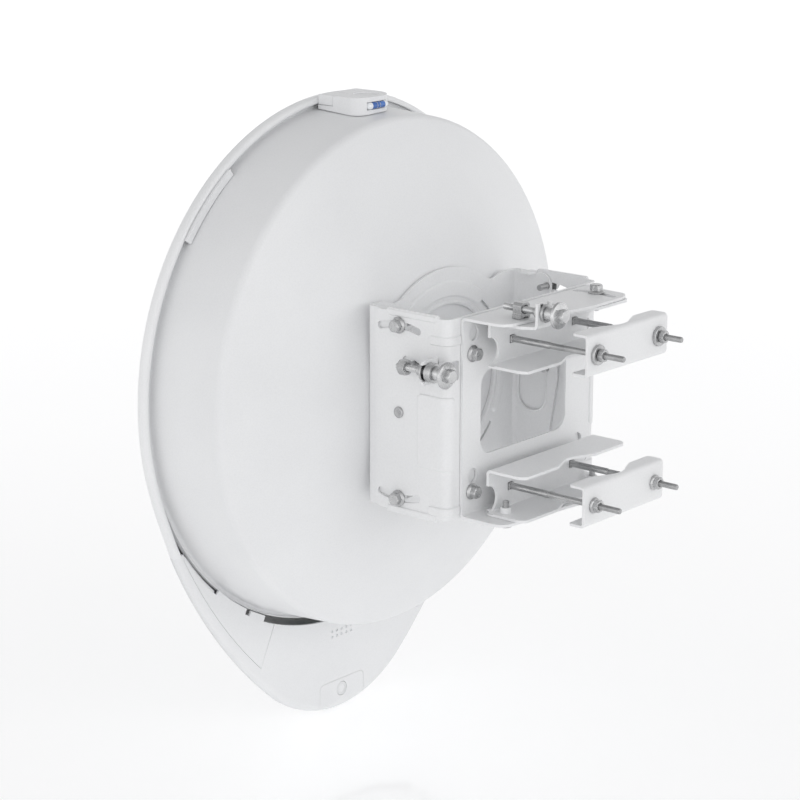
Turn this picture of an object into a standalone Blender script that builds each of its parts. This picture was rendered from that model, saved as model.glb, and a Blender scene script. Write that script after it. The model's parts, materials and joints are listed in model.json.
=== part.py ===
"""Outdoor wireless bridge: a round dish radio on a two-axis pole bracket.

Frame: origin on the pole's axis, midway between the two pole clamps.
+Y points from the dish to the pole, -Y is the beam direction, +Z is up.
All driving dimensions are in millimetres and are scaled by MM on the way
into the meshes.
"""

import math

import bmesh
import bpy
from mathutils import Vector

MM = 0.001
GAP = 0.3  # clearance between touching pieces

# --- pole clamps ---------------------------------------------------------
POLE_R = 26.5
CLAMP_Z = 65.5  # height of each clamp's centre line above and below the origin
BOLT_X = 44.5  # carriage bolts either side of the pole
SHEET = 2.5  # thickness of all bracket steel
INNER_HALF = 75.0
INNER_WEB_BACK = -59.1
INNER_H = 20.5
INNER_FRONT = -18.5
NOTCH_R = 12.3
NOTCH_DROP = 6.5
OUTER_HALF = 58.0
OUTER_WEB = 32.5
OUTER_H = 18.2
OUTER_TIP = 16.0
ROD_D = 5.9
ROD_STEP = -16.6
ROD_THREAD_D = 5.3
ROD_END_NEAR = 60.0
ROD_END_FAR = 57.0

# --- azimuth stage -------------------------------------------------------
AZ_PIVOT = (0.0, -47.0)
AZ_BACK = -76.5
AZ_HALF_Z = 88.8
AZ_SLOT_R = 63.0
AZ_SLOT_HALF_DEG = 18.0
WINDOW = (-57.0, 65.0, 37.5, 14.0)
BRACKET_BOLTS = [(77.0, 55.5), (-77.0, 55.5), (77.0, -66.7), (-77.0, -66.7)]
SIGHT_HOLES = [(75.5, 73.0), (-75.5, 73.0), (75.5, -53.0), (-75.5, -53.0)]
AZ_SCREW_X = 59.7
AZ_SCREW_Z = 97.0
AZ_TRUNNION_Y = -36.0
AZ_LUG_Y = -12.4

# --- elevation stage -----------------------------------------------------
TILT_PIVOT = (-130.5, 0.0)  # y, z
TILT_OUT = 107.0
TILT_BACK = -79.3
TILT_FRONT = -157.5
TILT_HALF_Z = 88.5
TILT_LIP_Z = 91.0
TILT_BEND = 8.0
TILT_SLOT_R = 77.0
TILT_SLOT_HALF_DEG = 15.7
TILT_SLOT_W = 6.6
EL_SCREW_X = 119.0
EL_SCREW_Z = 45.0
EL_TRUNNION_Y = -114.0
EL_TAB_Y = -88.3
EAR_OUT = 104.2
DISH_BASE = -169.5  # front face of the dish bracket's base plate
EAR_HALF_Z = 88.6
HUMP_R = 105.0
BASE_HOLE_R = 70.0

# --- dish ----------------------------------------------------------------
DRUM_Z = -1.0
RIM_Z = -3.0
RIM_R = 253.6
RIM_Y = -300.7
LIP_Y = -292.6
LIP_IN = 5.7
FLANK_R = 515.0
FLANK_C = (-249.57, 74.73)
TIP_R = 136.0
TIP_Z = -210.5
SPLIT = -24.85  # angle on the flank where the rim's lip ends and the chin cover starts
RADOME_FRONT = -345.0
CHIN_REAR = -293.5
PORT_HALF = 31.3
PORT_TOP = -317.0
LATCH = (0.0, -327.6)


# =========================================================================
# scene helpers
# =========================================================================
for old in list(bpy.data.objects):
    bpy.data.objects.remove(old, do_unlink=True)


def material(name, colour, roughness, metallic=0.0):
    mat = bpy.data.materials.new(name)
    mat.use_nodes = True
    shader = mat.node_tree.nodes["Principled BSDF"]
    shader.inputs["Base Color"].default_value = (*colour, 1.0)
    shader.inputs["Roughness"].default_value = roughness
    shader.inputs["Metallic"].default_value = metallic
    return mat


WHITE_PLASTIC = material("white_plastic", (0.80, 0.81, 0.82), 0.45)
RADOME_PLASTIC = material("radome_plastic", (0.82, 0.83, 0.84), 0.38)
POWDER_COAT = material("white_powder_coat", (0.80, 0.81, 0.82), 0.42)
ZINC = material("zinc_plated_steel", (0.50, 0.51, 0.52), 0.35, 1.0)
STAINLESS = material("stainless_steel", (0.60, 0.61, 0.62), 0.28, 1.0)
ALUMINIUM = material("cast_aluminium", (0.62, 0.63, 0.64), 0.5, 1.0)
VIAL_BLUE = material("blue_vial", (0.02, 0.11, 0.42), 0.12)
BOARD_GREEN = material("circuit_board", (0.02, 0.16, 0.07), 0.45)
JACK_METAL = material("jack_shell", (0.55, 0.55, 0.56), 0.35, 1.0)
CLEAR = material("light_pipe", (0.85, 0.88, 0.90), 0.1)
TRIM_GREY = material("grey_plastic", (0.55, 0.56, 0.58), 0.5)

PIVOTS = {}


def pivot(name, x, y, z):
    empty = bpy.data.objects.new(name, None)
    empty.location = (x * MM, y * MM, z * MM)
    empty.empty_display_size = 0.02
    bpy.context.scene.collection.objects.link(empty)
    PIVOTS[name] = empty
    return name


def finish(name, bm, mat, parent=None, smooth=35.0):
    """Puts a bmesh in world millimetres into the scene as one named object."""
    bmesh.ops.recalc_face_normals(bm, faces=bm.faces)
    origin = PIVOTS[parent].location if parent else Vector((0, 0, 0))
    for v in bm.verts:
        v.co = Vector(v.co) * MM - origin
    mesh = bpy.data.meshes.new(name)
    bm.to_mesh(mesh)
    bm.free()
    obj = bpy.data.objects.new(name, mesh)
    bpy.context.scene.collection.objects.link(obj)
    if parent:
        obj.parent = PIVOTS[parent]
    mesh.materials.append(mat)
    if smooth:
        mesh.shade_smooth()
        mesh.set_sharp_from_angle(angle=math.radians(smooth))
    return obj


def boolean(obj, label, bm, operation="DIFFERENCE"):
    """Adds a Boolean modifier; its helper stays in the file but not in the render."""
    helper = finish(obj.name + "_" + label, bm, TRIM_GREY, None, 0)
    helper.hide_render = True
    helper.display_type = "WIRE"
    mod = obj.modifiers.new(label, "BOOLEAN")
    mod.object = helper
    mod.operation = operation
    mod.solver = "EXACT"
    return obj


# =========================================================================
# outline helpers (all 2-D, millimetres)
# =========================================================================
def arc(cx, cy, r, a0, a1, n):
    return [
        (
            cx + r * math.cos(math.radians(a0 + (a1 - a0) * i / n)),
            cy + r * math.sin(math.radians(a0 + (a1 - a0) * i / n)),
        )
        for i in range(n + 1)
    ]


def rounded(corners, n=3):
    """Closed outline; each corner is (x, y) or (x, y, radius)."""
    out = []
    count = len(corners)
    for i, corner in enumerate(corners):
        p = Vector(corner[:2])
        r = corner[2] if len(corner) > 2 else 0.0
        if r <= 0:
            out.append((p.x, p.y))
            continue
        a = Vector(corners[i - 1][:2]) - p
        b = Vector(corners[(i + 1) % count][:2]) - p
        la, lb = a.length, b.length
        a.normalize()
        b.normalize()
        half = math.acos(max(-1.0, min(1.0, a.dot(b)))) / 2
        reach = min(r / math.tan(half), 0.48 * la, 0.48 * lb)
        r = reach * math.tan(half)
        centre = p + (a + b).normalized() * (r / math.sin(half))
        start = p + a * reach - centre
        end = p + b * reach - centre
        turn = math.atan2(start.x * end.y - start.y * end.x, start.dot(end))
        for k in range(n + 1):
            t = turn * k / n
            c, s = math.cos(t), math.sin(t)
            out.append(
                (centre.x + c * start.x - s * start.y, centre.y + s * start.x + c * start.y)
            )
    return out


def box2(x0, x1, y0, y1, r=0.0, n=3):
    return rounded([(x0, y0, r), (x1, y0, r), (x1, y1, r), (x0, y1, r)], n)


def circle(cx, cy, r, n=24):
    return [
        (cx + r * math.cos(2 * math.pi * i / n), cy + r * math.sin(2 * math.pi * i / n))
        for i in range(n)
    ]


def arc_slot(cx, cy, r, mid_deg, half_deg, width, n=5, ends=3):
    """Outline of a slot that follows an arc, with round ends."""
    w = width / 2
    out = arc(cx, cy, r + w, mid_deg - half_deg, mid_deg + half_deg, n)
    a = math.radians(mid_deg + half_deg)
    ex, ey = cx + r * math.cos(a), cy + r * math.sin(a)
    out += arc(ex, ey, w, mid_deg + half_deg, mid_deg + half_deg + 180, ends)[1:-1]
    out += arc(cx, cy, r - w, mid_deg + half_deg, mid_deg - half_deg, n)
    a = math.radians(mid_deg - half_deg)
    ex, ey = cx + r * math.cos(a), cy + r * math.sin(a)
    out += arc(ex, ey, w, mid_deg - half_deg + 180, mid_deg - half_deg + 360, ends)[1:-1]
    return out


def channel(a0, a1, b0, b1, t, r, n=3):
    """Section of a channel: web at a0, flanges running to a1, outer bend radius r."""
    out = [(a1, b1)]
    out += arc(a0 + r, b1 - r, r, 90, 180, n)
    out += arc(a0 + r, b0 + r, r, 180, 270, n)
    out += [(a1, b0), (a1, b0 + t)]
    out += arc(a0 + r, b0 + r, r - t, 270, 180, n)
    out += arc(a0 + r, b1 - r, r - t, 180, 90, n)
    out += [(a1, b1 - t)]
    return out


PLACE = {
    "X": lambda a, b, h: (h, a, b),
    "Y": lambda a, b, h: (a, h, b),
    "Z": lambda a, b, h: (a, b, h),
}


def prism(bm, outline, axis, lo, hi):
    put = PLACE[axis]
    low = [bm.verts.new(put(a, b, lo)) for a, b in outline]
    high = [bm.verts.new(put(a, b, hi)) for a, b in outline]
    n = len(outline)
    bm.faces.new(low)
    bm.faces.new(high[::-1])
    for i in range(n):
        bm.faces.new((low[i], high[i], high[(i + 1) % n], low[(i + 1) % n]))
    return bm


def loft(bm, rings, closed=False):
    """Joins rings of equal length; a ring of one point is a pole."""
    made = [[bm.verts.new(p) for p in ring] for ring in rings]
    pairs = list(zip(made, made[1:]))
    if closed:
        pairs.append((made[-1], made[0]))
    for a, b in pairs:
        n = max(len(a), len(b))
        for i in range(n):
            j = (i + 1) % n
            if len(a) == 1:
                bm.faces.new((a[0], b[i], b[j]))
            elif len(b) == 1:
                bm.faces.new((a[i], b[0], a[j]))
            else:
                bm.faces.new((a[i], b[i], b[j], a[j]))
    if not closed:
        for ring in (made[0], made[-1]):
            if len(ring) > 1:
                bm.faces.new(ring)
    return bm


def station(axis, centre, h, r, kind, n):
    """One ring across an axis: kind o is round, h a hexagon, s a square (r is the half width)."""
    if r <= 0:
        return [PLACE[axis](centre[0], centre[1], h)]
    out = []
    for i in range(n):
        t = 2 * math.pi * i / n
        if kind == "h":
            t0 = math.pi / 3
            rr = r / math.cos((t % t0) - t0 / 2)
        elif kind == "s":
            t0 = math.pi / 2
            rr = r / math.cos(((t + math.pi / 4) % t0) - t0 / 2)
        else:
            rr = r
        out.append(
            PLACE[axis](centre[0] + rr * math.cos(t), centre[1] + rr * math.sin(t), h)
        )
    return out


def turned(bm, axis, centre, steps, n=12, closed=False):
    return loft(bm, [station(axis, centre, *s, n) for s in steps], closed)


def steps_along(base, sign, rows):
    return [(base + sign * h, r, kind) for h, r, kind in rows]


# =========================================================================
# joint axes
# =========================================================================
AZ = pivot("azimuth_axis", AZ_PIVOT[0], AZ_PIVOT[1], 0)
EL = pivot("elevation_axis", 0, TILT_PIVOT[0], TILT_PIVOT[1])
AZ_TR = pivot("azimuth_trunnion_axis", AZ_SCREW_X, AZ_TRUNNION_Y, AZ_SCREW_Z)
AZ_SC = pivot("azimuth_screw_axis", AZ_SCREW_X, AZ_LUG_Y, AZ_SCREW_Z)
EL_TR = pivot("elevation_trunnion_axis", EL_SCREW_X, EL_TRUNNION_Y, EL_SCREW_Z)
EL_SC = pivot("elevation_screw_axis", EL_SCREW_X, EL_TAB_Y, EL_SCREW_Z)
UP_OUT = pivot("upper_clamp_slide", 0, OUTER_WEB, CLAMP_Z)
LO_OUT = pivot("lower_clamp_slide", 0, OUTER_WEB, -CLAMP_Z)
PORT = pivot("port_cover_slide", 0, CHIN_REAR, PORT_TOP)
LATCH_AX = pivot("port_latch_axis", LATCH[0], CHIN_REAR, LATCH[1])
RESET = (18.0, -324.0)
RESET_AX = pivot("reset_axis", RESET[0], -297.0, RESET[1])


# =========================================================================
# pole clamps
# =========================================================================
def inner_outline(tab):
    """Plan of an inner clamp's flanges, with the pole notch in front."""
    half = INNER_HALF
    notch_x = 21.0
    front = INNER_FRONT
    right = [(half, INNER_WEB_BACK - 3), (half, -24.5, 3), (71, front, 4)]
    if tab:
        right += [(71.5, front, 1.5), (70.0, -15.2), (50.0, -15.2), (48.5, front, 1.5)]
    right += [(26.5, front, 6)]
    a = math.degrees(math.atan2(-24.0, 14.0))
    notch = arc(0, 0, 27.3, a, -180 - a, 8)
    left = [(-26.5, front, 6), (-71, front, 4), (-half, -24.5, 3), (-half, INNER_WEB_BACK - 3)]
    return rounded(right + [(x, y) for x, y in notch] + left)


def inner_clamp(name, zc, tab):
    bm = bmesh.new()
    section = channel(INNER_WEB_BACK, -14.0, zc - INNER_H, zc + INNER_H, SHEET, 4.0)
    prism(bm, section, "X", -INNER_HALF, INNER_HALF)
    clamp = finish(name, bm, POWDER_COAT)

    bm = bmesh.new()
    top = zc + INNER_H + 5
    prism(bm, inner_outline(tab), "Z", zc - INNER_H - 5, top)
    boolean(clamp, "plan", bm, "INTERSECT")

    if tab:
        # the lower flange has no tab
        bm = bmesh.new()
        prism(bm, box2(46, 74, INNER_FRONT, -10), "Z", zc - INNER_H - 2, zc)
        boolean(clamp, "tab_trim", bm)
        # lug for the azimuth adjusting screw
        zt = zc + INNER_H
        yb = AZ_LUG_Y + SHEET / 2
        profile = [(-17.5, zt - SHEET)]
        profile += arc(yb - 4, zt + 1.5, 4.0, -90, 0, 4)
        profile += [(yb, zt + 20.0), (yb - SHEET, zt + 20.0)]
        profile += arc(yb - 4, zt + 1.5, 1.5, 0, -90, 3)
        profile += [(-17.5, zt)]
        bm = bmesh.new()
        prism(bm, profile, "X", AZ_SCREW_X - 9.7, AZ_SCREW_X + 9.7)
        boolean(clamp, "lug", bm, "UNION")
        bm = bmesh.new()
        slot = [(AZ_SCREW_X - 6.2, zt + 25)]
        slot += arc(AZ_SCREW_X, AZ_SCREW_Z - 0.5, 6.2, 180, 360, 8)
        slot += [(AZ_SCREW_X + 6.2, zt + 25)]
        prism(bm, slot, "Y", yb - 6, yb + 4)
        boolean(clamp, "lug_slot", bm)

    # end notches that clear the bracket bolts, and square holes for the bolt necks
    bm = bmesh.new()
    for side in (1, -1):
        prism(
            bm,
            circle(side * INNER_HALF, zc - NOTCH_DROP, NOTCH_R, 24),
            "Y",
            INNER_WEB_BACK - 2,
            INNER_WEB_BACK + 7.5,
        )
        prism(
            bm,
            box2(side * BOLT_X - 3.5, side * BOLT_X + 3.5, zc - 3.5, zc + 3.5, 0.6, 2),
            "Y",
            INNER_WEB_BACK - 2,
            INNER_WEB_BACK + 5,
        )
    boolean(clamp, "web_holes", bm)

    # clinch nut collars and the pivot hole in the outer flange
    s = 1 if zc > 0 else -1
    flange_in = s * (abs(zc) + INNER_H - SHEET)
    for i, (x, y) in enumerate(lock_bolt_places(s)):
        bm = bmesh.new()
        turned(bm, "Z", (x, y), steps_along(flange_in, -s, [(-1.0, 5.0, "o"), (4.2, 5.0, "o"), (4.8, 4.5, "o")]), 16)
        boolean(clamp, "collar_%d" % i, bm, "UNION")
    bm = bmesh.new()
    for x, y in lock_bolt_places(s):
        prism(bm, circle(x, y, ROD_D / 2 + GAP, 12), "Z", *sorted((flange_in - s * 8, flange_in + s * 6)))
    prism(bm, circle(*AZ_PIVOT, 4.3, 12), "Z", *sorted((flange_in - s * 4, flange_in + s * 6)))
    boolean(clamp, "flange_holes", bm)
    return clamp


def lock_bolt_places(s):
    """Azimuth lock bolts: far side on top, both sides below."""
    return [(-AZ_SLOT_R, AZ_PIVOT[1])] if s > 0 else [(AZ_SLOT_R, AZ_PIVOT[1]), (-AZ_SLOT_R, AZ_PIVOT[1])]


inner_clamp("upper_inner_clamp", CLAMP_Z, True)
inner_clamp("lower_inner_clamp", -CLAMP_Z, False)


def outer_clamp(name, zc, parent):
    bm = bmesh.new()
    section = [
        (-a, b)
        for a, b in channel(-OUTER_WEB, -OUTER_TIP, zc - OUTER_H, zc + OUTER_H, SHEET, 4.0)
    ]
    prism(bm, section, "X", -OUTER_HALF, OUTER_HALF)
    clamp = finish(name, bm, POWDER_COAT, parent)
    a = math.degrees(math.atan2(22.6, 14.5))
    plan = [(OUTER_HALF, OUTER_WEB + 3), (OUTER_HALF, OUTER_TIP, 2.5), (29.5, OUTER_TIP, 8)]
    plan += arc(0, 0, 26.8, a, 180 - a, 8)
    plan += [(-29.5, OUTER_TIP, 8), (-OUTER_HALF, OUTER_TIP, 2.5), (-OUTER_HALF, OUTER_WEB + 3)]
    bm = bmesh.new()
    prism(bm, rounded(plan), "Z", zc - OUTER_H - 4, zc + OUTER_H + 4)
    boolean(clamp, "plan", bm, "INTERSECT")
    bm = bmesh.new()
    for side in (1, -1):
        prism(bm, circle(side * BOLT_X, zc, ROD_D / 2 + GAP, 12), "Y", OUTER_WEB - 6, OUTER_WEB + 4)
    boolean(clamp, "rod_holes", bm)
    return clamp


outer_clamp("upper_outer_clamp", CLAMP_Z, UP_OUT)
outer_clamp("lower_outer_clamp", -CLAMP_Z, LO_OUT)


def carriage_bolt(name, side, zc):
    end = ROD_END_NEAR if side > 0 else ROD_END_FAR
    bm = bmesh.new()
    back = INNER_WEB_BACK - GAP
    rows = [
        (back - 3.4, 3.0, "o"),
        (back - 2.6, 5.6, "o"),
        (back - 1.2, 6.8, "o"),
        (back, 6.8, "o"),
        (back + 0.01, 3.1, "s"),
        (back + 4.6, 3.1, "s"),
        (back + 4.61, ROD_D / 2, "o"),
        (ROD_STEP, ROD_D / 2, "o"),
        (ROD_STEP + 0.4, ROD_THREAD_D / 2, "o"),
        (end - 0.8, ROD_THREAD_D / 2, "o"),
        (end, ROD_THREAD_D / 2 - 0.7, "o"),
    ]
    turned(bm, "Y", (side * BOLT_X, zc), rows, 8)
    finish(name, bm, ZINC)


def bored(bm, axis, centre, outer, bore, n=12):
    """A turned piece with a through hole: outer stations, then the bore back."""
    lo, hi = outer[0][0], outer[-1][0]
    turned(bm, axis, centre, outer + [(hi, bore, "o"), (lo, bore, "o")], n, closed=True)


for z_name, zc, parent in (("upper", CLAMP_Z, UP_OUT), ("lower", -CLAMP_Z, LO_OUT)):
    for x_name, side in (("near", 1), ("far", -1)):
        carriage_bolt("%s_clamp_bolt_%s" % (z_name, x_name), side, zc)
        face = OUTER_WEB + GAP
        if z_name == "upper":
            bm = bmesh.new()
            bored(
                bm, "Y", (side * BOLT_X, zc),
                [(face, 8.75, "o"), (face + 2.4, 8.75, "o"), (face + 2.8, 8.3, "o")],
                ROD_D / 2 + 0.3, 12,
            )
            finish("%s_washer_%s" % (z_name, x_name), bm, ZINC, parent)
            n0 = face + 2.8 + GAP
            outer = [(n0, 5.0, "o"), (n0 + 0.4, 5.0, "h"), (n0 + 4.4, 5.0, "h"), (n0 + 4.9, 4.9, "o")]
        else:
            n0 = face
            outer = [
                (n0, 6.9, "o"), (n0 + 1.0, 6.9, "o"), (n0 + 2.0, 5.8, "o"),
                (n0 + 2.1, 5.0, "h"), (n0 + 6.2, 5.0, "h"), (n0 + 6.7, 4.9, "o"),
            ]
        bm = bmesh.new()
        bored(bm, "Y", (side * BOLT_X, zc), outer, ROD_D / 2 + 0.2, 12)
        finish("%s_nut_%s" % (z_name, x_name), bm, ZINC, parent)


# =========================================================================
# azimuth stage
# =========================================================================
AZ_PLAN = [
    (90, AZ_BACK - 3), (90, -43, 8), (88.5, -33, 5), (81, -28.5, 6), (64.5, -27, 10), (9, -23, 20),
    (-21, -18.7, 20), (-64, -19.5, 8), (-78, -25, 7), (-80, -52.6, 8), (-90, -70, 4), (-90, AZ_BACK - 3),
]

bm = bmesh.new()
prism(bm, channel(AZ_BACK, -17, -AZ_HALF_Z, AZ_HALF_Z, SHEET, 5.0), "X", -90, 90)
azimuth = finish("azimuth_bracket", bm, POWDER_COAT, AZ)
bm = bmesh.new()
prism(bm, rounded(AZ_PLAN, 3), "Z", -AZ_HALF_Z - 4, AZ_HALF_Z + 4)
boolean(azimuth, "plan", bm, "INTERSECT")
bm = bmesh.new()
x0, x1, zw, rw = WINDOW
prism(bm, box2(x0, x1, -zw, zw, rw, 5), "Y", AZ_BACK - 4, AZ_BACK + 7)
for x, z in BRACKET_BOLTS:
    prism(bm, circle(x, z, ROD_D / 2 + GAP, 12), "Y", AZ_BACK - 4, AZ_BACK + 7)
for x, z in SIGHT_HOLES:
    prism(bm, circle(x, z, 6.5, 14), "Y", AZ_BACK - 4, AZ_BACK + 7)
boolean(azimuth, "back_holes", bm)
bm = bmesh.new()
zf = AZ_HALF_Z
for s in (1, -1):
    lo, hi = sorted((s * (zf - 6), s * (zf + 4)))
    prism(bm, circle(*AZ_PIVOT, 4.3, 12), "Z", lo, hi)
    prism(bm, arc_slot(*AZ_PIVOT, AZ_SLOT_R, 180, AZ_SLOT_HALF_DEG, 6.6), "Z", lo, hi)
prism(bm, arc_slot(*AZ_PIVOT, AZ_SLOT_R, 0, AZ_SLOT_HALF_DEG, 6.6), "Z", -zf - 4, -zf + 6)
prism(bm, circle(AZ_SCREW_X, AZ_TRUNNION_Y, 3.0, 12), "Z", zf - 6, zf + 4)
boolean(azimuth, "flange_holes", bm)


def flange_bolt(bm, axis, centre, face, sign, shank_end, shank_r=ROD_D / 2, head=True, n=12):
    """Hex flange bolt: head on the +sign side of face, shank towards shank_end."""
    rows = [
        (face + sign * 7.6, 4.4, "o"),
        (face + sign * 7.1, 5.0, "h"),
        (face + sign * 2.2, 5.0, "h"),
        (face + sign * 1.1, 7.25, "o"),
        (face, 7.25, "o"),
        (face - sign * 0.01, shank_r, "o"),
        (shank_end + sign * 0.7, shank_r, "o"),
        (shank_end, shank_r - 0.6, "o"),
    ]
    turned(bm, axis, centre, rows, n)


for i, (x, z) in enumerate(BRACKET_BOLTS):
    bm = bmesh.new()
    flange_bolt(bm, "Y", (x, z), AZ_BACK + SHEET + GAP, 1, TILT_BACK - 6.5)
    label = ("upper" if z > 0 else "lower") + ("_near" if x > 0 else "_far")
    finish("bracket_bolt_" + label, bm, ZINC, AZ)

for s, name in ((1, "upper"), (-1, "lower")):
    for x, y in lock_bolt_places(s):
        bm = bmesh.new()
        flange_bolt(bm, "Z", (x, y), s * (AZ_HALF_Z + GAP), s, s * 73.0)
        finish("azimuth_lock_bolt_%s_%s" % (name, "near" if x > 0 else "far"), bm, ZINC)
    bm = bmesh.new()
    head = s * (CLAMP_Z + INNER_H - SHEET - GAP)
    turned(
        bm, "Z", AZ_PIVOT,
        steps_along(head, s, [(-2.4, 5.0, "o"), (-1.6, 6.5, "o"), (0, 6.5, "o"), (0.01, 4.0, "o"), (5.4, 4.0, "o")]),
        16,
    )
    finish("azimuth_pivot_%s" % name, bm, ZINC)

# trunnion block: two legs on the flange, a pin between them, a bore for the screw
bm = bmesh.new()
z0 = AZ_HALF_Z + GAP
block = [
    (AZ_SCREW_X - 7, z0), (AZ_SCREW_X - 4, z0), (AZ_SCREW_X - 4, z0 + 1.6), (AZ_SCREW_X + 4, z0 + 1.6),
    (AZ_SCREW_X + 4, z0), (AZ_SCREW_X + 7, z0), (AZ_SCREW_X + 7, AZ_SCREW_Z + 6.0), (AZ_SCREW_X - 7, AZ_SCREW_Z + 6.0),
]
prism(bm, block, "Y", AZ_TRUNNION_Y - 4.5, AZ_TRUNNION_Y + 4.5)
trunnion = finish("azimuth_trunnion", bm, ZINC, AZ_TR)
bm = bmesh.new()
turned(bm, "Z", (AZ_SCREW_X, AZ_TRUNNION_Y), [(86.7, 2.7, "o"), (z0 + 2.6, 2.7, "o")], 12)
boolean(trunnion, "pin", bm, "UNION")
bm = bmesh.new()
prism(bm, circle(AZ_SCREW_X, AZ_SCREW_Z, 4.1, 16), "Y", AZ_TRUNNION_Y - 6, AZ_TRUNNION_Y + 6)
boolean(trunnion, "bore", bm)


def seat_bush(name, centre, plate_lo, plate_hi, rear, front, parent, r_rear, r_front):
    """Flanged bush either side of a slotted plate; the adjusting screw turns in it."""
    bm = bmesh.new()
    lo, hi = plate_lo - GAP, plate_hi + GAP
    outer = [
        (rear, 4.6, "o"), (lo - 2.2, 4.6, "o"), (lo - 2.19, r_rear, "o"), (lo, r_rear, "o"),
        (lo + 0.01, 4.1, "o"), (hi - 0.01, 4.1, "o"), (hi, r_front, "o"), (front, r_front, "o"),
    ]
    bored(bm, "Y", centre, outer, ROD_D / 2 + 0.35, 12)
    finish(name, bm, ZINC, parent)


def adjust_screw(name, centre, tip, neck, disc, parent):
    """Adjusting screw: thread, neck against the bush, broad flange and hex."""
    bm = bmesh.new()
    rows = [
        (tip, ROD_D / 2 - 0.8, "o"), (tip + 0.9, ROD_D / 2, "o"), (neck, ROD_D / 2, "o"), (neck + 0.01, 6.0, "o"),
        (disc - 1.0, 6.0, "o"), (disc - 0.9, 9.0, "o"), (disc, 11.5, "o"), (disc + 2.2, 11.5, "o"), (disc + 2.6, 11.0, "o"),
        (disc + 2.7, 5.5, "h"), (disc + 8.0, 5.5, "h"), (disc + 8.5, 5.0, "o"),
    ]
    turned(bm, "Y", centre, rows, 12)
    finish(name, bm, STAINLESS, parent)


seat_bush("azimuth_seat_bush", (AZ_SCREW_X, AZ_SCREW_Z), AZ_LUG_Y - 1.25, AZ_LUG_Y + 1.25, -20.0, -8.3, AZ_SC, 7.6, 8.0)
adjust_screw("azimuth_adjust_screw", (AZ_SCREW_X, AZ_SCREW_Z), -53.6, -8.0, 2.6, AZ_SC)


# =========================================================================
# elevation stage
# =========================================================================
TY, TZ = TILT_PIVOT
bm = bmesh.new()
section = [(b, -a) for a, b in channel(-(TILT_BACK + SHEET), -TILT_FRONT, -TILT_OUT, TILT_OUT, SHEET, TILT_BEND)]
prism(bm, section, "Z", -TILT_LIP_Z, TILT_LIP_Z)
tilt = finish("tilt_bracket", bm, POWDER_COAT, AZ)
side_view = []
for s in (1, -1):
    half = [
        (TILT_BACK + 6, s * TILT_HALF_Z), (-86.8, s * TILT_HALF_Z, 1), (-88.6, s * TILT_LIP_Z, 1.5), (-142.8, s * TILT_LIP_Z, 1.5),
        (-144.6, s * TILT_HALF_Z, 1), (TILT_FRONT, s * TILT_HALF_Z, 9),
    ]
    side_view += half if s > 0 else half[::-1]
bm = bmesh.new()
prism(bm, rounded(side_view, 3), "X", -TILT_OUT - 4, TILT_OUT + 4)
boolean(tilt, "side_view", bm, "INTERSECT")
# tab for the adjusting screw
bm = bmesh.new()
tab = rounded([(105.2, 34.5), (127.5, 34.5, 3), (127.5, 55.5, 3), (105.2, 55.5)], 3)
prism(bm, tab, "Y", EL_TAB_Y - 1.25, EL_TAB_Y + 1.25)
boolean(tilt, "tab", bm, "UNION")
bm = bmesh.new()
u_slot = [(132, EL_SCREW_Z + 7.2)] + arc(EL_SCREW_X - 0.4, EL_SCREW_Z, 7.2, 90, 270, 8) + [(132, EL_SCREW_Z - 7.2)]
prism(bm, u_slot, "Y", EL_TAB_Y - 3, EL_TAB_Y + 1.35)
prism(bm, box2(91.5, 112, 35.0, 52.0, 2.5, 3), "Y", EL_TAB_Y + 1.4, TILT_BACK + 8)
prism(bm, box2(WINDOW[0] - 4, WINDOW[1] + 4, -zw - 4, zw + 4, rw + 3, 4), "Y", TILT_BACK - 4, TILT_BACK + 8)
for x, z in BRACKET_BOLTS:
    prism(bm, circle(x, z, ROD_D / 2 + GAP, 12), "Y", TILT_BACK - 4, TILT_BACK + 8)
# short ribs that cross the bend end in small openings on the back
for z in (69.5, -81.0):
    for side in (1, -1):
        prism(bm, box2(*sorted((side * 88.6, side * 90.6)), z - 4.2, z + 4.2), "Y", TILT_BACK - 4, TILT_BACK + 8)
boolean(tilt, "back_holes", bm)
bm = bmesh.new()
for side in (1, -1):
    lo, hi = sorted((side * (TILT_OUT - 8), side * (TILT_OUT + 4)))
    prism(bm, circle(TY, TZ, 4.3, 12), "X", lo, hi)
    for mid in (90, -90):
        prism(bm, arc_slot(TY, TZ, TILT_SLOT_R, mid, TILT_SLOT_HALF_DEG, TILT_SLOT_W), "X", lo, hi)
arm = math.hypot(EL_TRUNNION_Y - TY, EL_SCREW_Z)
arm_deg = math.degrees(math.atan2(EL_SCREW_Z, EL_TRUNNION_Y - TY))
prism(bm, arc_slot(TY, TZ, arm, arm_deg, 11.0, 7.6), "X", TILT_OUT - 8, TILT_OUT + 4)
boolean(tilt, "side_slots", bm)

# dish bracket: U plate whose base is screwed to the dish and whose ears carry the pivots
bm = bmesh.new()
section = [(b, a) for a, b in channel(DISH_BASE, -105, -EAR_OUT, EAR_OUT, SHEET, 6.0)]
prism(bm, section, "Z", -HUMP_R - 1, HUMP_R + 1)
dish_bracket = finish("dish_bracket", bm, POWDER_COAT, EL)
front_view = []
hump_end = math.degrees(math.asin(88.0 / HUMP_R))
top = [(EAR_OUT + 3, EAR_HALF_Z), (84, EAR_HALF_Z, 12), (68, 84.0, 10)]
top += arc(0, 0, HUMP_R, hump_end - 2, 182 - hump_end, 12)
top += [(-68, 84.0, 10), (-84, EAR_HALF_Z, 12), (-EAR_OUT - 3, EAR_HALF_Z)]
bottom = [(x, -z, *rest) for x, z, *rest in [tuple(p) for p in top]][::-1]
bm = bmesh.new()
prism(bm, rounded(top + bottom, 3), "Y", DISH_BASE - 3, -100)
boolean(dish_bracket, "front_view", bm, "INTERSECT")
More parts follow.
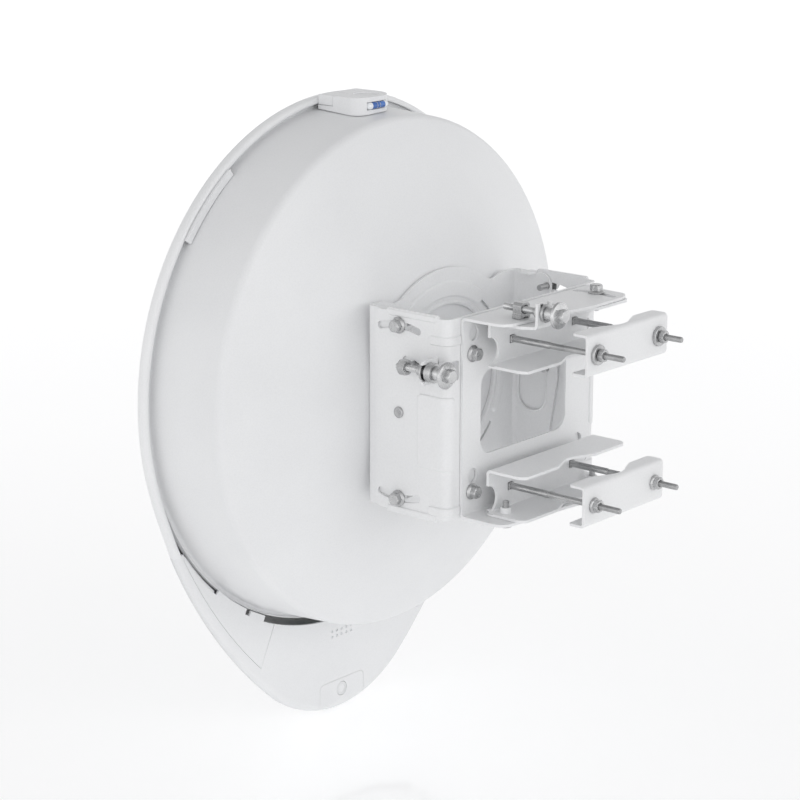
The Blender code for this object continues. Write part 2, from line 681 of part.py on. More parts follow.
ear = [
    (DISH_BASE - 3, HUMP_R + 3), (DISH_BASE + 4, HUMP_R + 3), (DISH_BASE + 5, EAR_HALF_Z + 0.4), (-160, EAR_HALF_Z),
    (-127, EAR_HALF_Z, 12), (-125.5, 67, 5), (-107, 60, 7), (-107, 31, 7),
    (-117, 20, 8), (-116.5, -8, 20), (-124.5, -55, 20), (-127, -EAR_HALF_Z, 12), (-160, -EAR_HALF_Z),
    (DISH_BASE + 5, -EAR_HALF_Z - 0.4), (DISH_BASE + 4, -HUMP_R - 3), (DISH_BASE - 3, -HUMP_R - 3),
]
bm = bmesh.new()
prism(bm, rounded(ear, 4), "X", -EAR_OUT - 3, EAR_OUT + 3)
boolean(dish_bracket, "side_view", bm, "INTERSECT")
bm = bmesh.new()
for side in (1, -1):
    for s in (1, -1):
        lip = [(side * 103.2, -160), (side * 94.5, -158.0), (side * 94.5, -146.5), (side * 103.2, -141.5)]
        prism(bm, lip, "Z", *sorted((s * (EAR_HALF_Z - SHEET), s * (EAR_HALF_Z - 0.05))))
boolean(dish_bracket, "lips", bm, "UNION")
bm = bmesh.new()
prism(bm, circle(0, 0, BASE_HOLE_R, 32), "Y", DISH_BASE - 3, DISH_BASE + 6)
for a in (45, 135, 225, 315):
    prism(bm, arc_slot(0, 0, 84, a, 7, 3.0, 4, 2), "Y", DISH_BASE - 3, DISH_BASE + 6)
boolean(dish_bracket, "base_holes", bm)
bm = bmesh.new()
for side in (1, -1):
    lo, hi = sorted((side * (EAR_OUT - 6), side * (EAR_OUT + 4)))
    prism(bm, circle(TY, TZ, 4.3, 12), "X", lo, hi)
    for z in (TILT_SLOT_R, -TILT_SLOT_R):
        prism(bm, circle(TY, z, ROD_D / 2 + GAP, 12), "X", lo, hi)
prism(bm, circle(EL_TRUNNION_Y, EL_SCREW_Z, 3.3, 16), "X", EAR_OUT - 6, EAR_OUT + 4)
boolean(dish_bracket, "ear_holes", bm)

for side, x_name in ((1, "near"), (-1, "far")):
    for s, z_name in ((1, "upper"), (-1, "lower")):
        bm = bmesh.new()
        flange_bolt(bm, "X", (TY, s * TILT_SLOT_R), side * (TILT_OUT + GAP), side, side * 90.0)
        finish("elevation_lock_bolt_%s_%s" % (z_name, x_name), bm, ZINC, EL)
    bm = bmesh.new()
    out = side * (TILT_OUT + GAP)
    turned(
        bm, "X", TILT_PIVOT,
        [(out + side * 1.4, 3.8, "o"), (out + side * 1.0, 5.0, "o"), (out, 5.0, "o"), (out - side * 0.01, 4.0, "o"),
         (side * 98.4, 4.0, "o"), (side * 98.0, 3.6, "o")],
        12,
    )
    finish("elevation_pivot_%s" % x_name, bm, ZINC, EL)

bm = bmesh.new()
turned(
    bm, "Y", (EL_SCREW_X, EL_SCREW_Z),
    [(EL_TRUNNION_Y - 4.0, 6.2, "h"), (EL_TRUNNION_Y + 4.0, 6.2, "h")], 12,
)
trunnion = finish("elevation_trunnion", bm, ZINC, EL_TR)
bm = bmesh.new()
turned(bm, "X", (EL_TRUNNION_Y, EL_SCREW_Z), [(102.0, 3.0, "o"), (115.5, 3.0, "o")], 12)
boolean(trunnion, "pin", bm, "UNION")
bm = bmesh.new()
prism(bm, circle(EL_SCREW_X, EL_SCREW_Z, 3.9, 16), "Y", EL_TRUNNION_Y - 6, EL_TRUNNION_Y + 6)
boolean(trunnion, "bore", bm)

seat_bush("elevation_seat_bush", (EL_SCREW_X, EL_SCREW_Z), EL_TAB_Y - 1.25, EL_TAB_Y + 1.25, -98.0, -80.0, EL_SC, 8.6, 8.6)
adjust_screw("elevation_adjust_screw", (EL_SCREW_X, EL_SCREW_Z), -122.0, -79.7, -69.5, EL_SC)


# =========================================================================
# dish
# =========================================================================
def outline(inset, main=40, flank=2, tip=8):
    """Radome outline moved inwards: rim circle, two flank arcs and the chin's tip arc."""
    fx, fz = FLANK_C
    a_flank = math.degrees(math.atan2(RIM_Z - fz, 0 - fx))
    a_tip = math.degrees(math.atan2(TIP_Z - fz, 0 - fx))
    r = FLANK_R - inset
    side = arc(fx, fz, r, a_flank, SPLIT + 0.06, flank) + arc(fx, fz, r, SPLIT - 0.06, a_tip, flank)
    out = arc(0, RIM_Z, RIM_R - inset, a_flank, 180 - a_flank, main)
    left = [(-x, z) for x, z in side]
    bottom = arc(0, TIP_Z, TIP_R - inset, 180 - a_tip - 360, a_tip, tip)
    return out + left[1:] + bottom[1:] + side[::-1][1:-1]


def in_chin(x, z):
    """True for a point beside the chin, below the end of the rim's rear lip."""
    return math.degrees(math.atan2(z - FLANK_C[1], abs(x) - FLANK_C[0])) < SPLIT


def dome_y(d, y, z, edge):
    """Depth of the front dome, a little fuller along the chin than round the rim."""
    w = min(1.0, max(0.0, (-118.0 - z) / 36.0))
    w = w * w * (3 - 2 * w)
    return y + (min(y, edge - 0.85 * min(d, 8.0)) - y) * w


def revolve(bm, profile, zc, n, closed=False):
    """Turns (radius, y) points about the dish axis."""
    rings = []
    for r, y in profile:
        if r <= 0:
            rings.append([(0, y, zc)])
        else:
            rings.append(
                [(r * math.cos(2 * math.pi * i / n), y, zc + r * math.sin(2 * math.pi * i / n)) for i in range(n)]
            )
    return loft(bm, rings, closed)


# rear housing: domed back, soft crease, drum wall, mounting flange under the rim's lip
bm = bmesh.new()
outer = [
    (0, -169.8), (100, -169.8), (150, -185.6), (200, -205.6), (228.5, -218.6), (233.6, -221.6), (236.4, -225.6),
    (238.6, -258.0), (241.1, -299.4), (245.0, -299.4), (245.2, -296.7), (246.2, -296.7), (246.4, -301.4),
]
inner = [(238.5, -301.4), (236.1, -258.2), (233.7, -226.9), (231.5, -223.8), (227.2, -221.1), (199, -208.2), (149, -188.1), (99, -172.3), (0, -172.3)]
revolve(bm, outer + inner, DRUM_Z, 48)
finish("rear_housing", bm, WHITE_PLASTIC, EL, 30)

# radome: front dome, rolled rim with a rear lip round the drum, plain edge at the chin
bm = bmesh.new()
lip = [
    (0.0, RIM_Y), (0.0, LIP_Y - 3.6), (0.7, LIP_Y - 1.6), (1.8, LIP_Y - 0.5), (3.4, LIP_Y), (LIP_IN, LIP_Y), (LIP_IN, LIP_Y - 2.5),
    (3.6, LIP_Y - 2.9), (2.6, LIP_Y - 4.4), (2.5, RIM_Y),
]
edge = -301.9
plain = [
    (0.0, edge - 0.6), (0.3, edge), (0.5, edge), (0.8, edge), (1.1, edge), (1.4, edge), (1.7, edge),
    (2.0, edge), (2.3, edge), (2.5, edge - 0.5),
]
dome = [(5.2, -302.4), (13.0, -306.8), (32.0, -315.4), (71.0, -328.2), (128.0, -338.8)]
shell = [(128.5, -341.4), (70.5, -330.8), (31.0, -317.6), (11.8, -308.8), (3.6, -303.6), (0.5, -301.4)]
cols = []
for k in range(len(lip)):
    a, b = outline(lip[k][0]), outline(plain[k][0])
    cols.append([(q[0], plain[k][1], q[1]) if in_chin(*o) else (r[0], lip[k][1], r[1]) for o, r, q in zip(outline(0), a, b)])
for d, y in dome:
    cols.append([(x, dome_y(d, y, z, -300.6), z) for x, z in outline(d)])
cols.append([(0, -342.5, -20.0)])
back_cols = [[(0, RADOME_FRONT, -20.0)]]
for d, y in shell:
    back_cols.append([(x, dome_y(d, y, z, -302.7), z) for x, z in outline(d)])
loft(bm, back_cols + cols)
finish("radome", bm, RADOME_PLASTIC, EL, 40)


def chin_shell(bm):
    """Full-outline dished plate with a rounded rear edge; trimmed to the chin afterwards."""
    rings = []
    for d, y in ((0.3, -301.3), (0.3, -299.0), (0.9, -296.9), (2.4, -295.0), (4.6, -293.9), (7.4, CHIN_REAR)):
        rings.append([(x, y, z) for x, z in outline(d, 12, 3, 12)])
    return loft(bm, rings)


def chin_pocket(bm):
    rings = []
    for d, y in ((2.5, -303.0), (2.5, -299.0), (3.4, -297.2), (5.4, -296.2), (7.8, -296.0)):
        rings.append([(x, y, z) for x, z in outline(d, 12, 3, 12)])
    return loft(bm, rings)


def hole_edge(a0, a1, step, grow=0.0):
    """Edge of the chin round the drum between two angles, stepped in and out by the clips and the service gap."""
    bands = ((-90.0, -64.5, 250.8), (-64.5, -59.6, 245.2), (-59.6, -58.1, 250.4), (-58.1, -47.5, 245.2), (-47.5, -31.5, 249.9), (-31.5, -8.0, 248.3))
    pts = []
    for lo, hi, r in bands:
        lo, hi = max(lo, a0), min(hi, a1)
        if hi > lo:
            pts += arc(0, RIM_Z, r - grow, lo, hi, max(2, int((hi - lo) / step)))
    return pts


def hole_outline(step):
    half = hole_edge(-90.0, -8.0, step)
    return half + [(180, 0), (-180, 0)] + [(-x, z) for x, z in half[::-1][:-1]]


def port_outline(grow):
    return rounded(
        [(PORT_HALF + grow, -360), (PORT_HALF + grow, PORT_TOP + grow, 5 + grow), (-PORT_HALF - grow, PORT_TOP + grow, 5 + grow), (-PORT_HALF - grow, -360)], 4
    )


def side_panel_outline(side, grow, steps=8, step=5.0):
    """Panel between the drum's circle and the chin's flank."""
    fx, fz = FLANK_C
    pts = []
    for i in range(steps + 1):
        t = i / steps
        phi = math.radians(-44.0 - 0.05 * grow + (18.6 + 0.1 * grow) * t)
        r = FLANK_R - (12.0 - 5.2 * t) + grow
        pts.append((fx + r * math.cos(phi), fz + r * math.sin(phi)))
    a1 = math.degrees(math.atan2(pts[-1][1] - RIM_Z, pts[-1][0])) - 0.25 + 0.3 * grow
    a0 = math.degrees(math.atan2(-235.6 - RIM_Z, 94.0)) - 0.3 * grow
    edge = hole_edge(a0, a1, step)[::-1]
    if grow:
        edge = [edge[0]] + hole_edge(a0, a1, step, 8.0)[::-1] + [edge[-1]]
    return [(side * x, z) for x, z in pts + edge]


bm = bmesh.new()
chin_shell(bm)
chin = finish("chin_rear_cover", bm, WHITE_PLASTIC, EL, 30)
bm = bmesh.new()
chin_pocket(bm)
boolean(chin, "pocket", bm)
bm = bmesh.new()
split = math.tan(math.radians(SPLIT - 0.1))
ridge = FLANK_C[1] - FLANK_C[0] * split
prism(bm, [(0, ridge), (280, ridge + 280 * split), (280, 290), (-280, 290), (-280, ridge + 280 * split)], "Y", -310, -285)
boolean(chin, "top_trim", bm)
bm = bmesh.new()
prism(bm, hole_outline(5.0), "Y", -310, -285)
boolean(chin, "drum_hole", bm)
bm = bmesh.new()
prism(bm, port_outline(0.3), "Y", -310, -285)
boolean(chin, "port_opening", bm)
bm = bmesh.new()
for i in range(5):
    for z in (-266.0, -271.5):
        prism(bm, circle(6.7 * (i - 2), z, 1.3, 6), "Y", -300, -290)
boolean(chin, "led_holes", bm)
for side in (1, -1):
    bm = bmesh.new()
    prism(bm, side_panel_outline(side, 0.35), "Y", -300, -290)
    boolean(chin, "panel_opening_%s" % ("left" if side > 0 else "right"), bm)

for side, name in ((1, "left"), (-1, "right")):
    bm = bmesh.new()
    prism(bm, side_panel_outline(side, 0.0), "Y", CHIN_REAR - 2.5, CHIN_REAR)
    finish("chin_side_panel_" + name, bm, WHITE_PLASTIC, EL, 30)

bm = bmesh.new()
chin_shell(bm)
port = finish("port_cover", bm, WHITE_PLASTIC, PORT, 30)
bm = bmesh.new()
chin_pocket(bm)
boolean(port, "pocket", bm)
bm = bmesh.new()
prism(bm, port_outline(0.0), "Y", -310, -285)
boolean(port, "trim", bm, "INTERSECT")
bm = bmesh.new()
prism(bm, circle(*LATCH, 7.1, 20), "Y", -300, -290)
boolean(port, "latch_hole", bm)

bm = bmesh.new()
turned(bm, "Y", LATCH, [(-296.6, 6.7, "o"), (-293.9, 6.7, "o"), (-293.5, 6.2, "o")], 20)
finish("port_latch_button", bm, WHITE_PLASTIC, LATCH_AX, 30)

# rim clips: upper pair over the lip, lower pair beside the chin
for side, name in ((1, "left"), (-1, "right")):
    for label, a0, a1, r0, r1, y0, y1 in (
        ("upper", 36, 54, 242.6, 249.4, LIP_Y + GAP, LIP_Y + 3.6),
        ("lower", -47.1, -34.5, 247.3, 249.6, -299.2, -296.6),
    ):
        pts = arc(0, RIM_Z, r1, a0, a1, 8) + arc(0, RIM_Z, r0, a1, a0, 8)
        bm = bmesh.new()
        prism(bm, [(side * x, z) for x, z in pts], "Y", y0, y1)
        finish("rim_clip_%s_%s" % (label, name), bm, WHITE_PLASTIC, EL, 30)

# level housing on top of the drum
LEVEL_TOP = 252.0
plan = [(29.5, LIP_Y + GAP), (29.5, -242, 14), (-22, -242, 24), (-22, LIP_Y + GAP)]
bm = bmesh.new()
prism(bm, rounded(plan, 8), "Z", 228.0, LEVEL_TOP)
level = finish("level_housing", bm, WHITE_PLASTIC, EL, 30)
bm = bmesh.new()
revolve(bm, [(0, -300), (242.0, -300), (237.2, -225), (0, -225)], DRUM_Z, 72)
boolean(level, "drum_clearance", bm)
bm = bmesh.new()
prism(bm, box2(8.0, 32.0, -300, -274.5), "Z", 242.4, LEVEL_TOP + 3)
boolean(level, "end_block_seat", bm)
bm = bmesh.new()
turned(bm, "Z", (-1.0, -262.0), [(LEVEL_TOP - 1.4, 10.8, "o"), (LEVEL_TOP - 1.2, 11.8, "o"), (LEVEL_TOP + 3, 12.2, "o")], 20)
boolean(level, "recess", bm)
bm = bmesh.new()
turned(bm, "X", (-242.6, 244.2), [(-7.5, 3.6, "o"), (19.5, 3.6, "o")], 16)
boolean(level, "vial_groove", bm)
bm = bmesh.new()
prism(bm, rounded([(29.5, LIP_Y + GAP, 0), (29.5, -274.8, 0.5), (8.3, -274.8, 0), (8.3, LIP_Y + GAP, 0)]), "Z", 242.7, LEVEL_TOP)
finish("level_end_block", bm, WHITE_PLASTIC, EL, 30)
bm = bmesh.new()
turned(
    bm, "X", (-242.6, 244.2),
    [(-7.0, 1.4, "o"), (-6.3, 2.6, "o"), (-5.0, 3.2, "o"), (17.0, 3.2, "o"), (18.4, 2.6, "o"), (19.1, 1.4, "o")], 16,
)
finish("level_vial", bm, VIAL_BLUE, EL, 40)

# reflector, feed and radio inside the drum
bm = bmesh.new()
depth, apex, rim_r = 84.0, -215.0, 234.0
radii = [15.0, 70.0, 130.0, 185.0, rim_r]
front = [(r, apex - depth * (r / rim_r) ** 2) for r in radii]
back = [(r, y + 1.8) for r, y in reversed(front)]
revolve(bm, front + back, DRUM_Z, 32, closed=True)
finish("reflector", bm, ALUMINIUM, EL, 40)
bm = bmesh.new()
bored(bm, "Y", (0, DRUM_Z), [(-318.0, 8.0, "o"), (-222.0, 8.0, "o"), (-221.9, 14.0, "o"), (-209.5, 14.0, "o")][::1], 6.5, 20)
finish("feed_tube", bm, ALUMINIUM, EL, 40)
bm = bmesh.new()
revolve(bm, [(0, -331.0), (30.0, -328.5), (31.0, -327.0), (16.0, -322.5), (0, -318.6)], DRUM_Z, 20)
finish("subreflector", bm, ALUMINIUM, EL, 40)
bm = bmesh.new()
prism(bm, box2(-72, 72, -73, 71, 12, 3), "Y", -209.0, -178.0)
radio = finish("radio_housing", bm, ALUMINIUM, EL, 30)
bm = bmesh.new()
prism(bm, box2(-69, 69, -70, 68, 9, 3), "Y", -215.0, -181.0)
boolean(radio, "hollow", bm)

# chin electronics
bm = bmesh.new()
prism(bm, rounded([(-50, -258, 3), (50, -258, 3), (50, -300, 3), (28, -330, 3), (-28, -330, 3), (-50, -300, 3)], 2), "Y", -301.0, -299.4)
finish("main_board", bm, BOARD_GREEN, EL, 30)
bm = bmesh.new()
prism(bm, box2(-8.0, 8.0, -316.0, -295.0, 0.5, 1), "Y", -314.0, -301.3)
jack = finish("ethernet_jack", bm, JACK_METAL, EL, 30)
bm = bmesh.new()
prism(bm, box2(-5.9, 5.9, -322.0, -300.0), "Y", -311.8, -304.2)
boolean(jack, "socket", bm)
bm = bmesh.new()
prism(bm, box2(-16.5, 16.5, -274.5, -263.0, 1.0, 2), "Y", -299.1, -296.3)
pipe = finish("led_light_pipe", bm, CLEAR, EL, 30)
bm = bmesh.new()
for i in range(5):
    for z in (-266.0, -271.5):
        turned(bm, "Y", (6.7 * (i - 2), z), [(-297.5, 0.8, "o"), (-293.7, 0.8, "o")], 6)
boolean(pipe, "pins", bm, "UNION")
bm = bmesh.new()
turned(bm, "Y", RESET, [(-298.4, 2.0, "o"), (-297.0, 2.0, "o"), (-296.6, 1.6, "o")], 16)
finish("reset_button", bm, TRIM_GREY, RESET_AX, 30)
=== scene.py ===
"""Looks for the outdoor wireless bridge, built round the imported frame.

Every CAD node that shows is either rebuilt here at full smoothness, with rolled
edges, embossing and threads, or kept and given a procedural finish.
Lengths in the modelling code are millimetres; MM scales them into metres.
"""

import json
import math

import bmesh
import bpy
from mathutils import Matrix, Vector


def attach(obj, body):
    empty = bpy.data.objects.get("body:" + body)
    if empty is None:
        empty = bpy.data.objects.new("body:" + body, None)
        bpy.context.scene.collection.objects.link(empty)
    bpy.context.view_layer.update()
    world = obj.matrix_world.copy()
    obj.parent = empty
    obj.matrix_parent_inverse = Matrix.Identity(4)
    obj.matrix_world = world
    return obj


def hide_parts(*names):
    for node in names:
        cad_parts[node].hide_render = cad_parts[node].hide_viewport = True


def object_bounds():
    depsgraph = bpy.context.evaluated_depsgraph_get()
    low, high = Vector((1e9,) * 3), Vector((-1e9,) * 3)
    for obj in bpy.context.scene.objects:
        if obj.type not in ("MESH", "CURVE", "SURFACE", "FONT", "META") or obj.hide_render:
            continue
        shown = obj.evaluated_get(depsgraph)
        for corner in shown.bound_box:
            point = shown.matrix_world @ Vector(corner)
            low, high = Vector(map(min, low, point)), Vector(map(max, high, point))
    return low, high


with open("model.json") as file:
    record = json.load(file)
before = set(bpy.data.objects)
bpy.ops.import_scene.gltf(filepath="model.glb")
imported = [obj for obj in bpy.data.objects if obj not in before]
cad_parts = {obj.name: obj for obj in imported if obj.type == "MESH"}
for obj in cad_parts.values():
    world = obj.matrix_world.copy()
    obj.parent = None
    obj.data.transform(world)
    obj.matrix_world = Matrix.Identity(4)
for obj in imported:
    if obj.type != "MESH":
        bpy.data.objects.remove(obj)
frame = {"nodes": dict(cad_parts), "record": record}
cad_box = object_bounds()
MM = 0.001
GAP = 0.3
NODE_BODY = {n: b for b, members in frame["record"]["behaviour"]["bodies"].items() for n in members}


# =========================================================================
# materials
# =========================================================================
def material(name):
    mat = bpy.data.materials.new(name)
    mat.use_nodes = True
    tree = mat.node_tree
    shader = next(n for n in tree.nodes if n.type == "BSDF_PRINCIPLED")
    return mat, tree, shader


def add(tree, kind, **props):
    node = tree.nodes.new(kind)
    for key, value in props.items():
        if key.startswith("in_"):
            node.inputs[key[3:].replace("_", " ").title()].default_value = value
        else:
            setattr(node, key, value)
    return node


def noise(tree, coord, scale, detail=3.0, roughness=0.55, stretch=None):
    node = tree.nodes.new("ShaderNodeTexNoise")
    node.inputs["Scale"].default_value = scale
    node.inputs["Detail"].default_value = detail
    node.inputs["Roughness"].default_value = roughness
    src = coord
    if stretch:
        mapping = tree.nodes.new("ShaderNodeMapping")
        mapping.inputs["Scale"].default_value = stretch
        tree.links.new(coord, mapping.inputs["Vector"])
        src = mapping.outputs["Vector"]
    tree.links.new(src, node.inputs["Vector"])
    return node.outputs["Fac"]


def ramp(tree, fac, stops):
    node = tree.nodes.new("ShaderNodeValToRGB")
    ramp_ = node.color_ramp
    while len(ramp_.elements) > 1:
        ramp_.elements.remove(ramp_.elements[-1])
    ramp_.elements[0].position = stops[0][0]
    ramp_.elements[0].color = (*stops[0][1], 1)
    for pos, colour in stops[1:]:
        e = ramp_.elements.new(pos)
        e.color = (*colour, 1)
    tree.links.new(fac, node.inputs["Fac"])
    return node.outputs["Color"]


def span(tree, fac, lo, hi, a=0.3, b=0.7):
    node = tree.nodes.new("ShaderNodeMapRange")
    node.inputs["From Min"].default_value = a
    node.inputs["From Max"].default_value = b
    node.inputs["To Min"].default_value = lo
    node.inputs["To Max"].default_value = hi
    tree.links.new(fac, node.inputs["Value"])
    return node.outputs["Result"]


def bump(tree, height, distance, strength, previous=None):
    node = tree.nodes.new("ShaderNodeBump")
    node.inputs["Distance"].default_value = distance
    node.inputs["Strength"].default_value = strength
    tree.links.new(height, node.inputs["Height"])
    if previous is not None:
        tree.links.new(previous, node.inputs["Normal"])
    return node.outputs["Normal"]


def coat_like(name, light, dark, rough, grain, grain_depth, wave=60.0, wave_depth=0.0, specular=0.5, coat=0.0):
    """Painted or moulded white surfaces: broad tone drift, fine grain, uneven gloss."""
    mat, tree, shader = material(name)
    coord = tree.nodes.new("ShaderNodeTexCoord").outputs["Object"]
    broad = noise(tree, coord, 9.0, 4.0, 0.5)
    fine = noise(tree, coord, grain, 2.0, 0.5)
    speck = noise(tree, coord, grain * 0.35, 3.0, 0.6)
    tone = ramp(tree, broad, [(0.32, dark), (0.62, light)])
    speckle = ramp(tree, speck, [(0.30, (0.965, 0.965, 0.965)), (0.60, (1, 1, 1))])
    mix = tree.nodes.new("ShaderNodeMix")
    mix.data_type = "RGBA"
    mix.blend_type = "MULTIPLY"
    mix.inputs["Factor"].default_value = 1.0
    tree.links.new(tone, mix.inputs[6])
    tree.links.new(speckle, mix.inputs[7])
    tree.links.new(mix.outputs[2], shader.inputs["Base Color"])
    gloss = noise(tree, coord, 38.0, 4.0, 0.6)
    tree.links.new(span(tree, gloss, rough - 0.05, rough + 0.06), shader.inputs["Roughness"])
    normal = bump(tree, fine, grain_depth, 0.35)
    if wave_depth:
        normal = bump(tree, noise(tree, coord, wave, 2.0, 0.4), wave_depth, 0.25, normal)
    tree.links.new(normal, shader.inputs["Normal"])
    shader.inputs["Specular IOR Level"].default_value = specular
    if coat:
        shader.inputs["Coat Weight"].default_value = coat
        shader.inputs["Coat Roughness"].default_value = 0.18
    return mat


def metal_like(name, light, dark, rough, stretch=(1, 1, 1), scale=260.0, scratch=0.00003):
    mat, tree, shader = material(name)
    coord = tree.nodes.new("ShaderNodeTexCoord").outputs["Object"]
    patch = noise(tree, coord, 70.0, 5.0, 0.6)
    grain = noise(tree, coord, scale, 4.0, 0.65, stretch)
    tree.links.new(ramp(tree, patch, [(0.30, dark), (0.66, light)]), shader.inputs["Base Color"])
    tree.links.new(span(tree, grain, rough - 0.08, rough + 0.12), shader.inputs["Roughness"])
    shader.inputs["Metallic"].default_value = 1.0
    tree.links.new(bump(tree, grain, scratch, 0.35), shader.inputs["Normal"])
    return mat


def vial_like():
    mat, tree, shader = material("vial_spirit")
    coord = tree.nodes.new("ShaderNodeTexCoord").outputs["Object"]
    swirl = noise(tree, coord, 160.0, 3.0, 0.5)
    tree.links.new(ramp(tree, swirl, [(0.30, (0.008, 0.075, 0.33)), (0.70, (0.020, 0.150, 0.52))]), shader.inputs["Base Color"])
    tree.links.new(span(tree, swirl, 0.06, 0.14), shader.inputs["Roughness"])
    shader.inputs["Coat Weight"].default_value = 0.8
    shader.inputs["Coat Roughness"].default_value = 0.04
    return mat


def board_like():
    mat, tree, shader = material("circuit_board")
    coord = tree.nodes.new("ShaderNodeTexCoord").outputs["Object"]
    brick = tree.nodes.new("ShaderNodeTexBrick")
    brick.inputs["Scale"].default_value = 260.0
    brick.inputs["Color1"].default_value = (0.010, 0.115, 0.045, 1)
    brick.inputs["Color2"].default_value = (0.014, 0.150, 0.060, 1)
    brick.inputs["Mortar"].default_value = (0.030, 0.230, 0.100, 1)
    brick.inputs["Mortar Size"].default_value = 0.05
    tree.links.new(coord, brick.inputs["Vector"])
    tree.links.new(brick.outputs["Color"], shader.inputs["Base Color"])
    tree.links.new(span(tree, noise(tree, coord, 300.0), 0.28, 0.42), shader.inputs["Roughness"])
    tree.links.new(bump(tree, brick.outputs["Fac"], 0.00004, 0.5), shader.inputs["Normal"])
    return mat


SHELL = coat_like("housing_moulding", (0.830, 0.836, 0.845), (0.800, 0.806, 0.816), 0.40, 2100.0, 0.00003)
RADOME = coat_like("radome_moulding", (0.860, 0.865, 0.872), (0.830, 0.836, 0.844), 0.34, 2600.0, 0.00002, 25.0, 0.0006, 0.5)
POWDER = coat_like("powder_coat", (0.850, 0.855, 0.862), (0.815, 0.820, 0.828), 0.40, 1500.0, 0.00004, 420.0, 0.0001)
ZINC = metal_like("zinc_plate", (0.560, 0.563, 0.567), (0.430, 0.433, 0.438), 0.27)
STEEL = metal_like("stainless", (0.640, 0.643, 0.647), (0.510, 0.514, 0.520), 0.22)
ROD = metal_like("rod_steel", (0.500, 0.502, 0.505), (0.360, 0.362, 0.366), 0.26, (1, 0.04, 1), 900.0)
CAST = metal_like("cast_aluminium", (0.620, 0.625, 0.630), (0.500, 0.505, 0.512), 0.48, (1, 1, 1), 420.0, 0.0001)
JACK = metal_like("tinned_shell", (0.560, 0.560, 0.570), (0.430, 0.430, 0.440), 0.32)
VIAL = vial_like()
BOARD = board_like()
CLEAR = coat_like("light_guide", (0.900, 0.920, 0.940), (0.840, 0.870, 0.900), 0.16, 1200.0, 0.00002)
DARK = coat_like("shadow_grey_moulding", (0.420, 0.430, 0.445), (0.340, 0.350, 0.365), 0.45, 2100.0, 0.00003)
BUTTON = coat_like("button_moulding", (0.560, 0.568, 0.580), (0.500, 0.508, 0.520), 0.42, 2000.0, 0.00002)


# =========================================================================
# mesh helpers
# =========================================================================
def thing(name, bm, mat, smooth=32.0):
    """A bmesh in millimetres becomes an object in the scene, in metres."""
    bmesh.ops.recalc_face_normals(bm, faces=bm.faces)
    for v in bm.verts:
        v.co = Vector(v.co) * MM
    mesh = bpy.data.meshes.new(name)
    bm.to_mesh(mesh)
    bm.free()
    obj = bpy.data.objects.new(name, mesh)
    bpy.context.scene.collection.objects.link(obj)
    if mat:
        mesh.materials.append(mat)
    shade(obj, smooth)
    return obj


def shade(obj, smooth=32.0):
    obj.data.shade_smooth()
    if smooth:
        obj.data.set_sharp_from_angle(angle=math.radians(smooth))


def bake(obj):
    """Applies the object's modifiers."""
    graph = bpy.context.evaluated_depsgraph_get()
    mesh = bpy.data.meshes.new_from_object(obj.evaluated_get(graph))
    old = obj.data
    obj.modifiers.clear()
    obj.data = mesh
    bpy.data.meshes.remove(old)


def cut(obj, bm, operation="DIFFERENCE"):
    helper = thing(obj.name + "_helper", bm, None, 0)
    mod = obj.modifiers.new("cut", "BOOLEAN")
    mod.object = helper
    mod.operation = operation
    mod.solver = "EXACT"
    bake(obj)
    mesh = helper.data
    bpy.data.objects.remove(helper)
    bpy.data.meshes.remove(mesh)


def soften(obj, width=0.4, segments=2, angle=38.0, smooth=32.0):
    """Rolls the edges over, then shades so that flat faces stay flat."""
    bm = bmesh.new()
    bm.from_mesh(obj.data)
    bmesh.ops.remove_doubles(bm, verts=bm.verts, dist=1e-6)
    bmesh.ops.dissolve_limit(bm, angle_limit=math.radians(0.3), verts=bm.verts, edges=bm.edges)
    bm.to_mesh(obj.data)
    bm.free()
    mod = obj.modifiers.new("edges", "BEVEL")
    mod.width = width * MM
    mod.segments = segments
    mod.limit_method = "ANGLE"
    mod.angle_limit = math.radians(angle)
    mod.use_clamp_overlap = True
    mod.loop_slide = False
    bake(obj)
    obj.data.shade_smooth()
    obj.data.set_sharp_from_angle(angle=math.radians(60))
    mod = obj.modifiers.new("normals", "WEIGHTED_NORMAL")
    mod.keep_sharp = True
    mod.weight = 90
    bake(obj)


def place(obj, slot, *nodes, body=None):
    """The piece stands for these CAD nodes and rides on their body."""
    if nodes:
        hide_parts(*nodes)
    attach(obj, body or NODE_BODY[nodes[0]])
    return obj


def arc(cx, cy, r, a0, a1, n):
    return [
        (
            cx + r * math.cos(math.radians(a0 + (a1 - a0) * i / n)),
            cy + r * math.sin(math.radians(a0 + (a1 - a0) * i / n)),
        )
        for i in range(n + 1)
    ]


def rounded(corners, n=8):
    """Closed outline; each corner is (x, y) or (x, y, radius)."""
    out = []
    count = len(corners)
    for i, corner in enumerate(corners):
        p = Vector(corner[:2])
        r = corner[2] if len(corner) > 2 else 0.0
        if r <= 0:
            out.append((p.x, p.y))
            continue
        a = Vector(corners[i - 1][:2]) - p
        b = Vector(corners[(i + 1) % count][:2]) - p
        la, lb = a.length, b.length
        a.normalize()
        b.normalize()
        half = math.acos(max(-1.0, min(1.0, a.dot(b)))) / 2
        reach = min(r / math.tan(half), 0.48 * la, 0.48 * lb)
        r = reach * math.tan(half)
        centre = p + (a + b).normalized() * (r / math.sin(half))
        start = p + a * reach - centre
        end = p + b * reach - centre
        turn = math.atan2(start.x * end.y - start.y * end.x, start.dot(end))
        for k in range(n + 1):
            t = turn * k / n
            c, s = math.cos(t), math.sin(t)
            out.append((centre.x + c * start.x - s * start.y, centre.y + s * start.x + c * start.y))
    return out


def box2(x0, x1, y0, y1, r=0.0, n=6):
    return rounded([(x0, y0, r), (x1, y0, r), (x1, y1, r), (x0, y1, r)], n)


